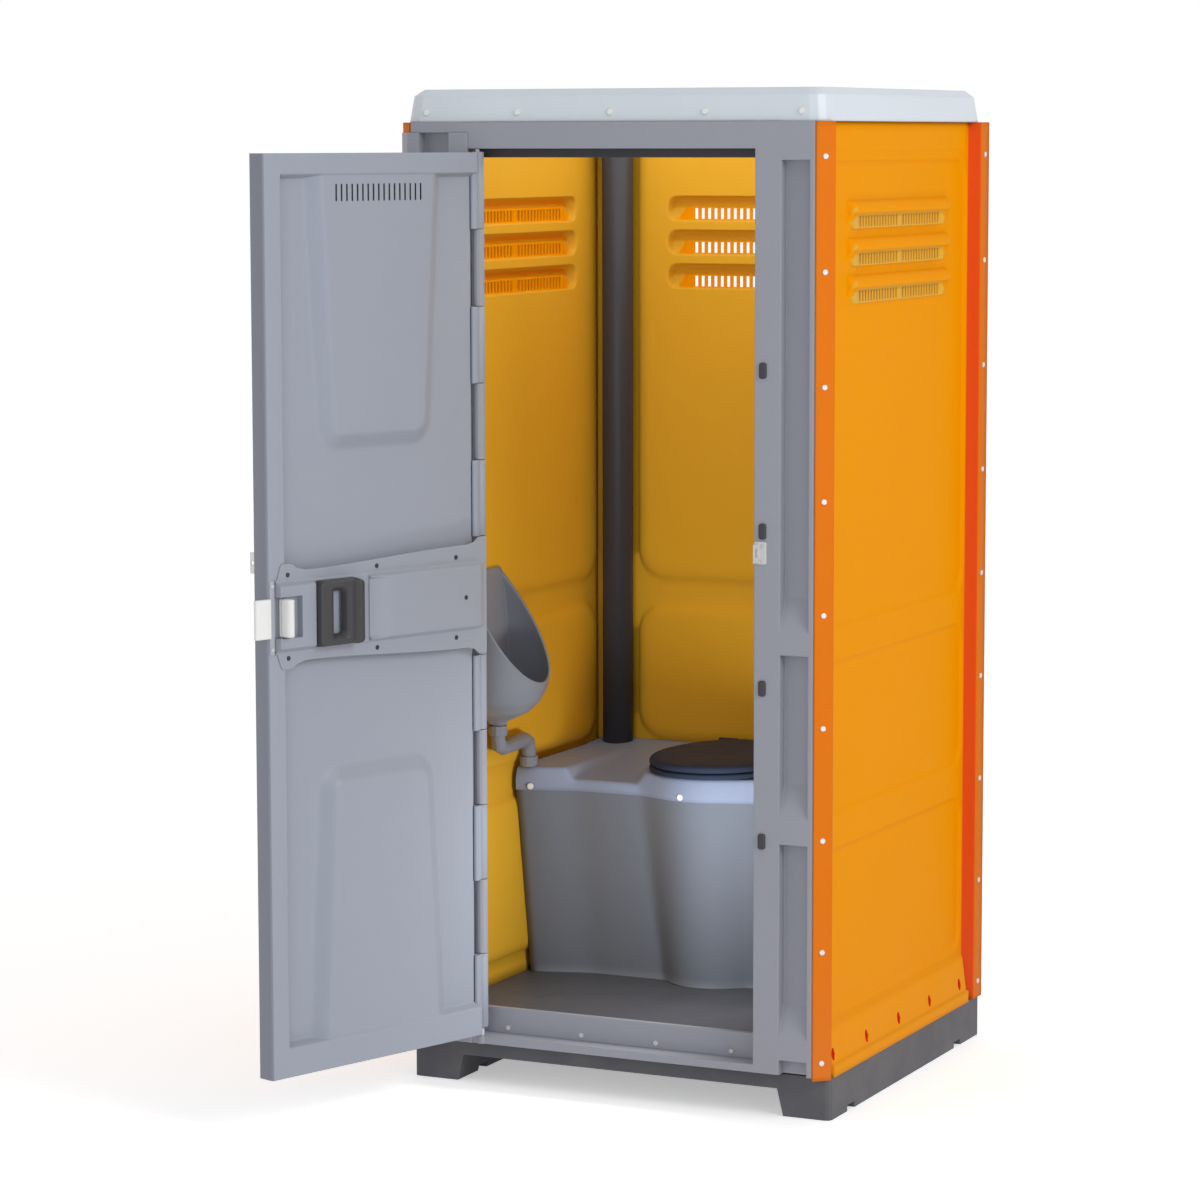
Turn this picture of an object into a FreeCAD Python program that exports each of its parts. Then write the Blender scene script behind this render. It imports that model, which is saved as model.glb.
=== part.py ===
"""Portable toilet cabin: moulded twin-skin walls on a pallet base, inset door on a full-length rod hinge.

Frame: +Z up, millimetres, origin on the ground at the centre of the footprint. The door is on the
-Y side, the hinge on its -X edge. The door is modelled shut and then swung open to its rest angle.
"""
import FreeCAD, Part
import math
import os

V = FreeCAD.Vector
UP = V(0, 0, 1)

# Cabin shell
cabin_width = 1060.0
cabin_depth = 1014.0
wall_foot = 97.0
wall_height = 2122.0
skin = 4.0
seam = 3.0
least_corner = 1.0
fine_corner = 25.0
flatness = 0.001
corner_cut = 30.0
flange_return = 8.0
wall_inset = 32.0
return_depth = 20.0
plate_thick = 9.5
back_corner_depth = 59.0
back_inset = 33.0
back_edge_width = 50.0
back_slant = 20.0

# Wall pressings, heights above the wall's foot
top_band = 75.0
upper_rib = (938.0, 991.0)
lower_rib = (515.0, 572.0)
field_depth = 5.5
field_gap = 10.0
field_side_gap = 8.0
field_corner = 60.0
field_shelf = 8.0
liner_thick = 3.0
pillow_rise = 13.0
pillow_round = 12.0
pillow_corner = 70.0
pillow_side_gap = 22.0
pillow_head_gap = 14.0
pillow_heights = ((992.0, 0.0), (587.0, 930.0), (113.0, 501.0))
pillow_wall = 3.0
pipe_bay_gap = 3.5

# Louvres
louvre_rows = 3
louvre_drop = 174.0
louvre_pitch = 83.0
louvre_side_centre = 6.0
louvre_length = 620.0
louvre_back_length = 578.0
hood_height = 30.0
hood_proud = 18.0
hood_brow = 16.5
hood_corner = 26.0
hood_wall = 3.5
slot_pitch = 34.4
slot_width = 16.0
slot_height = 26.0
slot_drop = 4.0
slot_margin = 54.0
slot_mid_post = 24.0

# Skirt at the foot of the walls, (height above the foot, reach outwards)
skirt_height = 117.0
skirt_shoulder = (110.0, 15.0)
skirt_low = (33.0, 25.0)
skirt_lip_height = 28.0
skirt_hole_radius = 7.0
skirt_hole_height = 50.0
skirt_holes = 5
skirt_hole_near = 11.0
skirt_hole_far = 76.0
skirt_back_hole_margin = 44.0

# Pallet base and floor
base_side_gap = 5.0
base_front_set = 44.0
base_corner = 12.0
skid_width = 114.0
skid_draft = 15.0
beam_under = 62.0
plinth_front_set = 54.0
plinth_height = 53.0
plinth_side_gap = 2.5
floor_thick = 6.0
notch_length = 45.0
notch_height = 14.0
notch_places = (-360.0, 330.0)
pocket_depth = 22.0
pocket_rib = 18.0
pockets_across = 3
pockets_deep = 4

# Front frame
frame_foot_gap = 7.0
jamb_depth = 45.0
hinge_jamb = 181.0
latch_jamb = 174.0
lintel_drop = 59.0
jamb_face = 62.0
groove_width = 67.0
groove_depth = 28.0
lap_length = 32.0
head_block = 84.0
groove_blocks = ((952.0, 1003.0), (529.0, 587.0), (41.0, 90.0))
block_ramp = 75.0
ledge_height = 25.0
sill_height = 84.0
sill_lip = 14.0
stop_set = 47.0
stop_drop = 20.0
stop_height = 58.0
stop_thick = 6.0

# Hinge post
post_proud = 3.0
post_head_gap = 23.0
post_face = 47.0
post_groove = 76.0

# Hinge
hinge_from_jamb = 21.5
hinge_set = 7.6
rod_radius = 4.75
rod_fit = 0.06
rod_foot_gap = 11.0
rod_head_gap = 0.5
knuckle_radius = 14.4
knuckle_sides = 12
knuckle_pitch = 173.9
knuckle_gap = 1.2
knuckle_head_rise = 1.6
knuckle_foot_rise = 7.6
knuckles_each_end = 5
web_thick = 10.0
web_offset = 6.5
web_lap = 8.0
post_web_offset = 2.0
foot_lug_trim = 2.0

# Door leaf, s measured along the leaf from the hinge axis, o from its inner face
leaf_open_angle = 109.13
leaf_edge_gap = 12.5
leaf_heel = 37.0
leaf_outer_heel = 16.0
leaf_thick = 45.0
leaf_inner_set = 38.1
leaf_foot_gap = 38.0
leaf_head_gap = 8.0
stile_width = 49.0
rail_foot_width = 63.0
rail_head_width = 44.0
recess_depth = 27.0
recess_slope = 9.0
emboss_rise = 23.0
emboss_bevel = 37.0
emboss_edge = 2.0
emboss_round = 6.0
emboss_set = 289.0
upper_emboss_height = 604.0
upper_emboss_narrow = 342.0
lower_emboss_height = 610.0
lower_emboss_narrow = 344.0
emboss_wide = 397.0
emboss_shoulder = 55.0
vent_slots = 17
vent_span = 250.0
vent_slot_width = 4.0
vent_drop = 23.0
vent_length = 37.0
latch_rail_below = 88.0
latch_rail_above = 89.0
latch_rail_start = 44.0
latch_rail_lap = 18.0
latch_rail_corner = 10.0
outer_field_depth = 5.0
outer_field_margin = 55.0
outer_field_corner = 30.0
pull_width = 36.0
pull_height = 150.0
pull_depth = 14.0
pull_end_gap = 45.0

# Latch, places measured back from the leaf's free edge
latch_height = 1154.0
cover_rise = 30.0
cover_wall = 3.0
cover_start = 19.0
cover_end_gap = 21.0
cover_band = 144.0
cover_bevel = 10.0
cover_flange = (
    (40.0, 115.0),
    (65.0, 115.0),
    (108.0, 99.0),
)
cover_hinge_flange = (
    (82.0, 117.0),
    (41.0, 132.0),
    (19.0, 132.0),
)
cover_screw_spread = 91.0
cover_screw_radius = 7.0
cover_screws_from_edge = (56.0, 316.0)
cover_hinge_screw = 114.0
cover_middle_screw = 97.0
cover_cavity = 303.0
bolt_reach = 42.0
bolt_height = 86.0
bolt_nose = 19.0
bolt_thick = 10.0
bolt_length = 289.0
bolt_lift = 2.5
bolt_travel = 36.0
knob_radius = 8.0
knob_sink = 2.0
slide_far = 251.0
slide_near = 126.0
slide_height = 146.0
slide_grip = 20.0
slide_grip_rise = 12.0
slide_rim = 12.0
slide_rim_rise = 5.0
slide_corner = 4.0
slide_window_far = 201.0
slide_window_near = 161.0
slide_window_height = 96.0
slide_play = 1.5
scoop_radius = 70.0
scoop_bite = 26.6
scoop_margin = 22.0
finger_far = 72.0
finger_near = 20.0
faceplate_far = 19.0
faceplate_width = 14.0
faceplate_height = 162.0
faceplate_thick = 2.0
faceplate_corner = 3.0
faceplate_screw_inset = 12.0
faceplate_screw_radius = 4.5
screw_head = 2.0
small_screw_head = 1.5

# Door furniture on the latch jamb, heights from the latch
buffer_heights = (522.0, 168.0, -181.0, -524.0)
buffer_width = 17.0
buffer_height = 35.0
buffer_thick = 6.0
buffer_corner = 5.0
buffer_bevel = 2.5
buffer_set = 20.0
plate_metal = 2.5
staple_rise = 120.0
staple_set = 0.5
staple_length = 50.0
staple_width = 29.5
staple_lip = 30.0
staple_lip_set = 9.0
staple_lip_thick = 3.0
staple_lip_trim = 4.0
staple_slot_length = 18.0
staple_slot_edge = 7.0
staple_slot_root = 9.0
staple_screw_radius = 4.0
staple_screw_spread = 16.0
staple_screw_set = 20.7
hasp_rise = 117.0
hasp_length = 46.0
hasp_plate = 30.0
hasp_edge_gap = 4.0
hasp_lip = 15.0
hasp_hole = 5.0
hasp_hole_reach = 8.2

# Roof
roof_height = 74.0
roof_skirt = 59.2
roof_set = 12.0
roof_draft = 9.1
roof_crown_inset = 28.6
roof_corner = 40.0
roof_wall = 4.0
roof_lip = 14.0
rosette_radius = 8.0
rosette_head = 3.0
rosette_pitch = 230.0
rosette_rise = 22.0
rosettes_each_side = 2

# Fasteners
head_sides = 8
rivet_radius = 6.5
rivet_head = 2.5
rivet_top_gap = 76.0
rivet_foot_gap = 40.4
rivets = 9
sill_screw_radius = 6.0
sill_screw_pitch = 188.0
sill_screws_across = 4
sill_screw_rise = 13.0

# Waste tank, heights above the floor and depths from the back liner
tank_height = 480.0
tank_rim_drop = 19.0
tank_wall = 5.0
tank_depth = (438.5, 363.5)
wing_bow = 50.0
wing_bend = 165.0
lobe_radius = (177.0, 116.0)
lobe_depth = 301.5
lobe_x = -22.0
lobe_sides = 20
rim_overhang = 4.0
deck_front_rise = 490.0
deck_back_rise = 526.0
deck_wall = 6.0
deck_shelf = 22.0
platform_rise = 518.0
platform_past_pipe = 60.0
platform_nose = ((0.0, 8.0), (14.0, 60.0), (50.0, 92.0), (120.0, 100.0))
tank_screw_radius = 8.0
tank_screw_rise = 472.0
wing_screw_set = 39.5
lobe_screw_set = -15.0

# Seat and lid
seat_rise = 520.0
seat_x = -8.0
seat_back_gap = 35.5
seat_length = 468.0
seat_width = 346.0
oval_back = 0.72
oval_widest = 0.42
oval_flank = 0.97
oval_sides = 10
seat_bed_margin = 10.0
seat_thick = 14.0
seat_ring = 62.0
seat_bevel = 4.0
lid_gap = 1.0
lid_thick = 16.0
lid_bevel = 6.0
lid_crown = 5.0
hole_inset = 14.0
lid_overhang = 2.0
lid_crown_inset = 30.0
hinge_block = (46.0, 28.0)
hinge_post_depth = 18.0
seat_pin_length = 14.0
seat_pin_radius = 6.0
seat_pin_spread = 92.0

# Urinal and its drain
urinal_set = 303.0
urinal_rise = 644.0
urinal_height = 370.0
urinal_profile = (
    (19.0, 0.0),
    (20.0, 22.0),
    (58.0, 34.0),
    (94.0, 68.0),
    (117.0, 112.0),
    (129.0, 165.0),
    (124.0, 250.0),
    (92.0, 370.0),
)
urinal_sides = 10
urinal_lip_rise = 134.0
urinal_lip_reach = 168.0
urinal_back = 8.0
urinal_wall = 5.0
urinal_floor = 10.0
drain_set = 39.5
drain_foot_set = 23.5
drain_radius = 18.0
drain_bore = 14.0
drain_sides = 12
collar_radius = 22.5
drain_level_drop = 58.0
drain_elbow = 28.0
drain_foot_depth = 456.5
collar_height = 24.0

# Vent pipe
pipe_radius = 38.0
pipe_wall = 3.0
pipe_set = 60.5
pipe_gap = 0.3
pipe_head_gap = 25.0

# Derived places
half_width = cabin_width / 2
half_depth = cabin_depth / 2
front = -half_depth
wall_top = wall_foot + wall_height
wall_plane = half_width - wall_inset
wall_back_face = wall_plane - plate_thick
liner_face = wall_back_face - liner_thick
pillow_face = liner_face - pillow_rise
back_plane = half_depth - back_inset
back_back_face = back_plane - plate_thick
back_liner_face = back_back_face - liner_thick
back_pillow_face = back_liner_face - pillow_rise
step_y = half_depth - back_corner_depth
louvre_tops = [wall_top - louvre_drop - louvre_pitch * i for i in range(louvre_rows)]
plinth_top = wall_foot + plinth_height
floor_top = plinth_top + floor_thick
frame_foot = wall_foot + frame_foot_gap
ledge_top = wall_foot + ledge_height
sill_top = wall_foot + sill_height
lintel = wall_top - lintel_drop
post_top = wall_top - post_head_gap
doorway_left = hinge_jamb - half_width
doorway_right = half_width - latch_jamb
jamb_back = front + jamb_depth
stop_y = front + stop_set
hinge_x = doorway_left + hinge_from_jamb
hinge_y = front + hinge_set
rod_foot = wall_foot + rod_foot_gap
leaf_inner_y = hinge_y + leaf_inner_set
leaf_reach = doorway_right - hinge_x - leaf_edge_gap
leaf_foot = wall_foot + leaf_foot_gap
leaf_head = lintel - leaf_head_gap
knuckle_top = leaf_head + knuckle_head_rise
knuckle_foot = leaf_foot + knuckle_foot_rise
stile_start = leaf_reach - stile_width
field_foot = leaf_foot + rail_foot_width
field_head = leaf_head - rail_head_width
emboss_centre = stile_start - emboss_set
latch_rail_foot = latch_height - latch_rail_below
latch_rail_head = latch_height + latch_rail_above
cover_end = leaf_reach - cover_end_gap
slide_start = leaf_reach - slide_far
slide_end = leaf_reach - slide_near
bolt_tip = leaf_reach + bolt_reach
roof_top = wall_top + roof_height
tank_top = floor_top + tank_height
tank_rim_foot = tank_top - tank_rim_drop
platform_top = floor_top + platform_rise
lobe_y = back_pillow_face - lobe_depth
seat_pad_top = floor_top + seat_rise
seat_far = back_pillow_face - seat_back_gap
pipe_x = pipe_set - pillow_face
urinal_y = front + urinal_set
urinal_foot = floor_top + urinal_rise
urinal_top = urinal_foot + urinal_height
urinal_lip = urinal_foot + urinal_lip_rise
drain_x = drain_set - pillow_face
drain_foot_x = drain_foot_set - pillow_face
drain_foot_y = back_pillow_face - drain_foot_depth
drain_level = urinal_foot - drain_level_drop


def on(axis, u, v, w):
    """Point with (u, v) in the plane seen along the axis and w along it."""
    if axis == "x":
        return V(w, u, v)
    if axis == "y":
        return V(u, w, v)
    return V(u, v, w)


def block(x0, x1, y0, y1, z0, z1):
    return Part.makeBox(x1 - x0, y1 - y0, z1 - z0, V(x0, y0, z0))


def rod(start, direction, radius, length):
    return Part.makeCylinder(radius, length, start, direction)


def flat(points):
    return Part.Face(Part.makePolygon(points + points[:1]))


def prism(points, direction):
    return flat(points).extrude(direction)


def rounded(axis, u0, u1, v0, v1, w, r, steps):
    """Corners of a rectangle with rounded corners in the plane across the axis."""
    if steps == 0:
        return [on(axis, u0, v0, w), on(axis, u1, v0, w), on(axis, u1, v1, w), on(axis, u0, v1, w)]
    points = []
    centres = ((u0 + r, v0 + r, 180), (u1 - r, v0 + r, 270), (u1 - r, v1 - r, 0), (u0 + r, v1 - r, 90))
    for u, v, turn in centres:
        for i in range(steps + 1):
            angle = math.radians(turn + 90.0 * i / steps)
            points.append(on(axis, u + r * math.cos(angle), v + r * math.sin(angle), w))
    return points


def corner_steps(r):
    """Number of chords that draw a corner of this radius."""
    if r < least_corner:
        return 0
    return 2 if r < fine_corner else 3


def stacked(outlines):
    """Closed form with flat sides between outlines that have equal numbers of corners."""
    faces = [flat(outlines[0]), flat(outlines[-1])]
    for low, high in zip(outlines, outlines[1:]):
        for i in range(len(low)):
            j = (i + 1) % len(low)
            a, b, c, d = low[i], low[j], high[j], high[i]
            normal = (b - a).cross(d - a)
            if abs((c - a).dot(normal.normalize())) < flatness:
                faces.append(flat([a, b, c, d]))
            else:
                faces += [flat([a, b, c]), flat([a, c, d])]
    solid = Part.makeSolid(Part.makeShell(faces))
    return solid if solid.Volume > 0 else solid.reversed()


def slab(axis, u0, u1, v0, v1, w0, w1, r):
    """Block with rounded corners as seen along the axis."""
    return prism(rounded(axis, u0, u1, v0, v1, w0, r, corner_steps(r)), on(axis, 0, 0, w1 - w0))


def pad(axis, u0, u1, v0, v1, levels, r):
    """Rounded block through (w, inset) levels."""
    outlines = []
    steps = corner_steps(r)
    for w, inset in levels:
        sides = (u0 + inset, u1 - inset, v0 + inset, v1 - inset)
        outlines.append(rounded(axis, *sides, w, r - inset / 2, steps))
    return stacked(outlines)


def ribbon(line, thick):
    """Closed band between a plan line and its copy offset to the left, as (a, b) pairs."""
    normals = []
    for (a0, b0), (a1, b1) in zip(line, line[1:]):
        length = math.hypot(a1 - a0, b1 - b0)
        normals.append((-(b1 - b0) / length, (a1 - a0) / length))
    offset = []
    for i, (a, b) in enumerate(line):
        before = normals[max(i - 1, 0)]
        after = normals[min(i, len(normals) - 1)]
        scale = thick / (1 + before[0] * after[0] + before[1] * after[1])
        offset.append((a + scale * (before[0] + after[0]), b + scale * (before[1] + after[1])))
    return line + offset[::-1]


def upright(line, thick, z0, z1):
    """Sheet of one thickness that follows a plan line, standing from z0 to z1."""
    return prism([V(a, b, z0) for a, b in ribbon(line, thick)], V(0, 0, z1 - z0))


def fused(shapes):
    return shapes[0].multiFuse(shapes[1:]).removeSplitter()


def across(shape):
    """Mirror image on the other side of the cabin."""
    return shape.mirror(V(0, 0, 0), V(1, 0, 0))


def ring(centre, direction, radius, sides):
    """Regular outline about a centre, square to a direction."""
    level = direction.cross(UP)
    if level.Length < 0.5:
        level = V(1, 0, 0)
    level.normalize()
    raised = direction.cross(level)
    points = []
    for i in range(sides):
        angle = 2 * math.pi * (i + 0.5) / sides
        points.append(centre + level * (radius * math.cos(angle)) + raised * (radius * math.sin(angle)))
    return points


def stud(centre, direction, radius, height):
    """Low fastener head that stands on a face."""
    return prism(ring(centre, direction, radius, head_sides), direction * height)


def export(name, shape):
    shape.exportStep("parts/" + name + ".step")


def hood(axis, u0, u1, top, base, inset):
    """Louvre hood: a rounded brow above a straight lip, with rounded ends."""
    reach = base + hood_proud - inset
    low = top - hood_height + inset
    head = top - inset
    root = base - plate_thick
    half = hood_brow / 2
    profile = [
        (head, root), (head, reach - hood_brow), (head - half / 2, reach - half / 2),
        (head - hood_brow, reach), (low, reach), (low, root),
    ]
    body = prism([on(axis, u0, z, w) for z, w in profile], on(axis, u1 - u0, 0, 0))
    round_ends = slab(axis, u0 + inset, u1 - inset, low - hood_corner, head, root, reach, hood_corner)
    return body.common(round_ends)


def slot_row(axis, centre, length, top, w0, w1):
    """Comb of upright slots below one hood, with a post left in the middle."""
    low = top - hood_height - slot_drop - slot_height
    cuts = []
    half_run = length / 2 - slot_margin
    count = int((half_run - slot_mid_post / 2) / slot_pitch)
    for side in (-1, 1):
        for i in range(count):
            u = centre + side * (slot_mid_post / 2 + slot_pitch * (i + 0.5))
            start = on(axis, u - slot_width / 2, low, w0)
            end = on(axis, u + slot_width / 2, low + slot_height, w1)
            cuts.append(Part.makeBox(end.x - start.x, end.y - start.y, end.z - start.z, start))
    return cuts


def pressed_plate(axis, u0, u1, plane, louvre_centre, length):
    """Outer skin of one wall: plate with three recessed fields between flush ribs, and louvres."""
    back = plane - plate_thick
    plate = slab(axis, u0, u1, wall_foot, wall_top, back, plane, 0)
    field_foot_low = skirt_height + field_shelf
    feet = (upper_rib[1] + field_gap, lower_rib[1] + field_gap, field_foot_low)
    heads = (wall_height - top_band - field_gap, upper_rib[0] - field_gap, lower_rib[0] - field_gap)
    left = u0 + field_side_gap
    right = u1 - field_side_gap
    fields = []
    for foot, head in zip(feet, heads):
        fields.append(
            pad(
                axis, left, right, wall_foot + foot, wall_foot + head,
                ((plane - field_depth, field_depth), (plane + 1, -1)), field_corner,
            )
        )
    shape = plate.cut(Part.makeCompound(fields))
    hoods = []
    hollows = []
    slots = []
    left = louvre_centre - length / 2
    right = louvre_centre + length / 2
    for top in louvre_tops:
        hoods.append(hood(axis, left, right, top, plane, 0))
        hollows.append(hood(axis, left, right, top, plane, hood_wall))
        slots += slot_row(axis, louvre_centre, length, top, back - 1, plane + 1)
    shape = fused([shape] + hoods)
    return shape.cut(Part.makeCompound(hollows + slots))


def liner(axis, u0, u1, face, louvre_centre, length, side_gap):
    """Inner skin: thin sheet with hollow raised pillows and a window behind each louvre."""
    back = face + liner_thick
    top = face - pillow_rise
    shape = slab(axis, u0, u1, floor_top, wall_top, face, back, 0)
    left = u0 + side_gap
    right = u1 - side_gap
    pads = []
    pockets = []
    lowest_window = louvre_tops[-1] - hood_height - slot_height - 2 * slot_drop
    for foot, head in pillow_heights:
        foot += wall_foot
        head = wall_foot + head if head else wall_top - pillow_head_gap
        levels = ((top, pillow_round), (face, 0.0), (face + 1, 0.0))
        pads.append(pad(axis, left, right, foot, head, levels, pillow_corner))
        inset = pillow_round + pillow_wall
        pocket_head = min(head, lowest_window) - inset
        pocket = (left + inset, right - inset, foot + inset, pocket_head)
        pockets.append(slab(axis, *pocket, top + pillow_wall, back, pillow_corner - inset))
    windows = []
    for head in louvre_tops:
        foot = head - hood_height - slot_height - 2 * slot_drop
        window_left = louvre_centre - length / 2 + hood_wall
        window_right = louvre_centre + length / 2 - hood_wall
        window = (window_left, window_right, foot, head - hood_wall)
        windows.append(slab(axis, *window, top - 1, back, hood_corner))
    shape = fused([shape] + pads)
    return shape.cut(Part.makeCompound(pockets + windows))


def skirt(axis, u0, u1, plane, near, far):
    """Flared foot of a wall with a row of holes."""
    shoulder_z, shoulder_out = skirt_shoulder
    low_z, low_out = skirt_low
    line = [
        (plane, wall_foot + skirt_height),
        (plane + shoulder_out, wall_foot + shoulder_z),
        (plane + low_out, wall_foot + low_z),
        (plane + low_out, wall_foot + skirt_lip_height),
        (plane + wall_inset, wall_foot + skirt_lip_height),
        (plane + wall_inset, wall_foot),
    ]
    band = ribbon(line[::-1], skin)
    shape = prism([on(axis, u0, z, w) for w, z in band], on(axis, u1 - u0, 0, 0))
    pitch = (u1 - u0 - near - far) / (skirt_holes - 1)
    through = on(axis, 0, 0, 1)
    holes = []
    for i in range(skirt_holes):
        start = on(axis, u0 + near + pitch * i, wall_foot + skirt_hole_height, plane + skin)
        holes.append(prism(ring(start, through, skirt_hole_radius, head_sides), through * wall_inset))
    return shape.cut(Part.makeCompound(holes))


def side_outer():
    """Outer skin of the right-hand wall, with its corner flanges."""
    root = front + corner_cut + flange_return + return_depth
    front_line = [
        (half_width - corner_cut, front),
        (half_width, front + corner_cut),
        (half_width, front + corner_cut + flange_return),
        (wall_plane, root),
        (wall_plane, root + seam),
    ]
    rear_line = [
        (wall_plane, step_y - seam),
        (wall_plane, step_y),
        (half_width, step_y),
        (half_width, half_depth),
    ]
    front_flange = upright(front_line, skin, wall_foot, wall_top)
    rear_flange = upright(rear_line, skin, wall_foot, wall_top)
    plate = pressed_plate("x", root, step_y + skin, wall_plane, louvre_side_centre, louvre_length)
    foot = skirt("x", root, step_y + skin / 2, wall_plane, skirt_hole_near, skirt_hole_far)
    return fused([front_flange, rear_flange, plate, foot])


def side_liner():
    start = front + corner_cut + flange_return + return_depth
    return liner("x", start, back_back_face, liner_face, louvre_side_centre, louvre_length, pillow_side_gap)


def back_outer():
    """Outer skin of the back wall between the side walls' corner flanges."""
    edge = half_width - skin
    inner_edge = edge - back_edge_width
    line = [
        (edge, step_y + skin),
        (edge, half_depth),
        (inner_edge, half_depth),
        (inner_edge - back_slant, back_plane),
        (inner_edge - back_slant - seam, back_plane),
    ]
    flange = upright(line, skin, wall_foot, wall_top)
    reach = inner_edge - back_slant
    plate = pressed_plate("y", -reach, reach, back_plane, 0.0, louvre_back_length)
    side = wall_back_face
    wings = block(-side, side, back_back_face, back_back_face + skin, wall_foot, wall_top)
    recess = block(-reach + 1, reach - 1, back_back_face - 1, back_plane, wall_foot, wall_top)
    foot = skirt("y", -reach, reach, back_plane, skirt_back_hole_margin, skirt_back_hole_margin)
    return fused([flange, across(flange), plate, wings.cut(recess), foot])


def back_liner():
    bay = pipe_x + liner_face + pipe_radius + pipe_bay_gap
    return liner("y", -liner_face, liner_face, back_liner_face, 0.0, louvre_back_length, bay)


def base_pallet():
    """Pallet with two tapered skids, a ribbed underside and a raised plinth for the floor."""
    side = half_width - base_side_gap
    near = front + base_front_set
    slab_top = slab("z", -side, side, near, half_depth, beam_under, wall_foot, base_corner)
    shapes = [slab_top]
    for sign in (-1, 1):
        outer = sign * side
        foot_in = sign * (side - skid_width)
        head_in = sign * (side - skid_width - skid_draft)
        section = [(outer, 0), (foot_in, 0), (head_in, beam_under), (outer, beam_under)]
        skid = prism([V(x, near, z) for x, z in section], V(0, half_depth - near, 0))
        corners = slab("z", -side, side, near, half_depth, 0, beam_under, base_corner)
        shapes.append(skid.common(corners))
    plinth_side = wall_back_face - plinth_side_gap
    plinth_near = front + plinth_front_set
    plinth_far = back_back_face - plinth_side_gap
    shapes.append(block(-plinth_side, plinth_side, plinth_near, plinth_far, wall_foot, plinth_top))
    body = fused(shapes)
    cuts = []
    for y in notch_places:
        cuts.append(block(-side - 1, side + 1, y, y + notch_length, 0, notch_height))
    inner = side - skid_width - skid_draft - pocket_rib
    cell_x = 2 * inner / pockets_across
    cell_y = (half_depth - near - pocket_rib) / pockets_deep
    for i in range(pockets_across):
        for j in range(pockets_deep):
            x0 = -inner + i * cell_x + pocket_rib / 2
            y0 = near + pocket_rib + j * cell_y
            x1 = x0 + cell_x - pocket_rib
            y1 = y0 + cell_y - pocket_rib
            cuts.append(block(x0, x1, y0, y1, beam_under, beam_under + pocket_depth))
    return body.cut(Part.makeCompound(cuts))


def floor_plate():
    side = wall_back_face - plinth_side_gap
    near = front + plinth_front_set
    far = back_back_face - plinth_side_gap
    return block(-side, side, near, far, plinth_top, floor_top)


def ramped_block(x0, x1, y0, y1, foot, head):
    """Bridge across the jamb groove with a sloped shoulder above it."""
    shapes = [block(x0, x1, y0, y1, foot, head)]
    if head + block_ramp < wall_top:
        points = [V(x0, y0, head), V(x0, y1, head + block_ramp), V(x0, y1, head)]
        shapes.append(prism(points, V(x1 - x0, 0, 0)))
    return shapes


def door_frame():
    """Header, latch jamb and ledge in one moulding."""
    face_end = doorway_right + jamb_face
    groove_end = face_end + groove_width
    bend = half_width - corner_cut - skin * math.sqrt(2)
    lap = lap_length / math.sqrt(2)
    line = [
        (doorway_right, jamb_back),
        (doorway_right, front),
        (face_end, front),
        (face_end, front + groove_depth),
        (groove_end, front + groove_depth),
        (groove_end, front),
        (bend, front),
        (bend + lap, front + lap),
    ]
    shapes = [upright(line, skin, frame_foot, wall_top)]
    spans = [(wall_foot + foot, wall_foot + head) for foot, head in groove_blocks]
    for foot, head in [(wall_top - head_block, wall_top)] + spans:
        shapes += ramped_block(face_end - 1, groove_end + 1, front, front + groove_depth, foot, head)
    shapes.append(block(-bend, doorway_right + skin, front, front + skin, post_top, wall_top))
    shapes.append(block(doorway_left, doorway_right + skin, front, front + skin, lintel, post_top))
    shapes.append(block(doorway_left, doorway_right + skin, front, stop_y, lintel, lintel + skin))
    plinth_near = front + plinth_front_set
    bend = ribbon([(plinth_near, ledge_top), (front, ledge_top), (front, frame_foot)], skin)
    ledge = [V(doorway_left, y, z) for y, z in bend]
    shapes.append(prism(ledge, V(doorway_right + skin - doorway_left, 0, 0)))
    lug = ring(V(hinge_x, hinge_y, frame_foot), UP, knuckle_radius - foot_lug_trim, knuckle_sides)
    shapes.append(prism(lug, UP * (ledge_top - frame_foot)))
    frame = fused(shapes)
    hole = rod(V(hinge_x, hinge_y, rod_foot), UP, rod_radius + rod_fit, wall_top)
    return frame.cut(hole)


def header_stop():
    """Dark strip behind the header that the leaf's head closes against."""
    foot = lintel - stop_drop
    return block(doorway_left, doorway_right, stop_y, stop_y + stop_thick, foot, foot + stop_height)


def sill_plate():
    """Threshold: riser, lip and back leg over the floor's front edge."""
    face = front + plinth_front_set - skin
    line = [
        (face, ledge_top),
        (face, sill_top),
        (face + sill_lip, sill_top),
        (face + sill_lip, floor_top),
    ]
    band = ribbon(line[::-1], skin)
    return prism([V(doorway_left, y, z) for y, z in band], V(doorway_right - doorway_left, 0, 0))


def hinge_post():
    """Left-hand post with its groove, and the frame's share of the hinge knuckles."""
    face_end = doorway_left - post_face
    groove_end = face_end - post_groove
    proud = front - post_proud
    bend = half_width - corner_cut + post_proud * (math.sqrt(2) - 1)
    line = [
        (-half_width, proud + half_width - bend),
        (-bend, proud),
        (groove_end, proud),
        (groove_end, front + groove_depth),
        (face_end, front + groove_depth),
        (face_end, proud),
        (doorway_left, proud),
        (doorway_left, jamb_back),
    ]
    shapes = [upright(line, post_proud, frame_foot, post_top)]
    for z0, z1 in knuckle_spans(1):
        shapes.append(knuckle(z0, z1))
        near = hinge_y - post_web_offset
        shapes.append(block(doorway_left - 1, hinge_x, near, near + web_thick, z0, z1))
    return fused(shapes).cut(rod(V(hinge_x, hinge_y, rod_foot), UP, rod_radius + rod_fit, wall_top))


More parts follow.
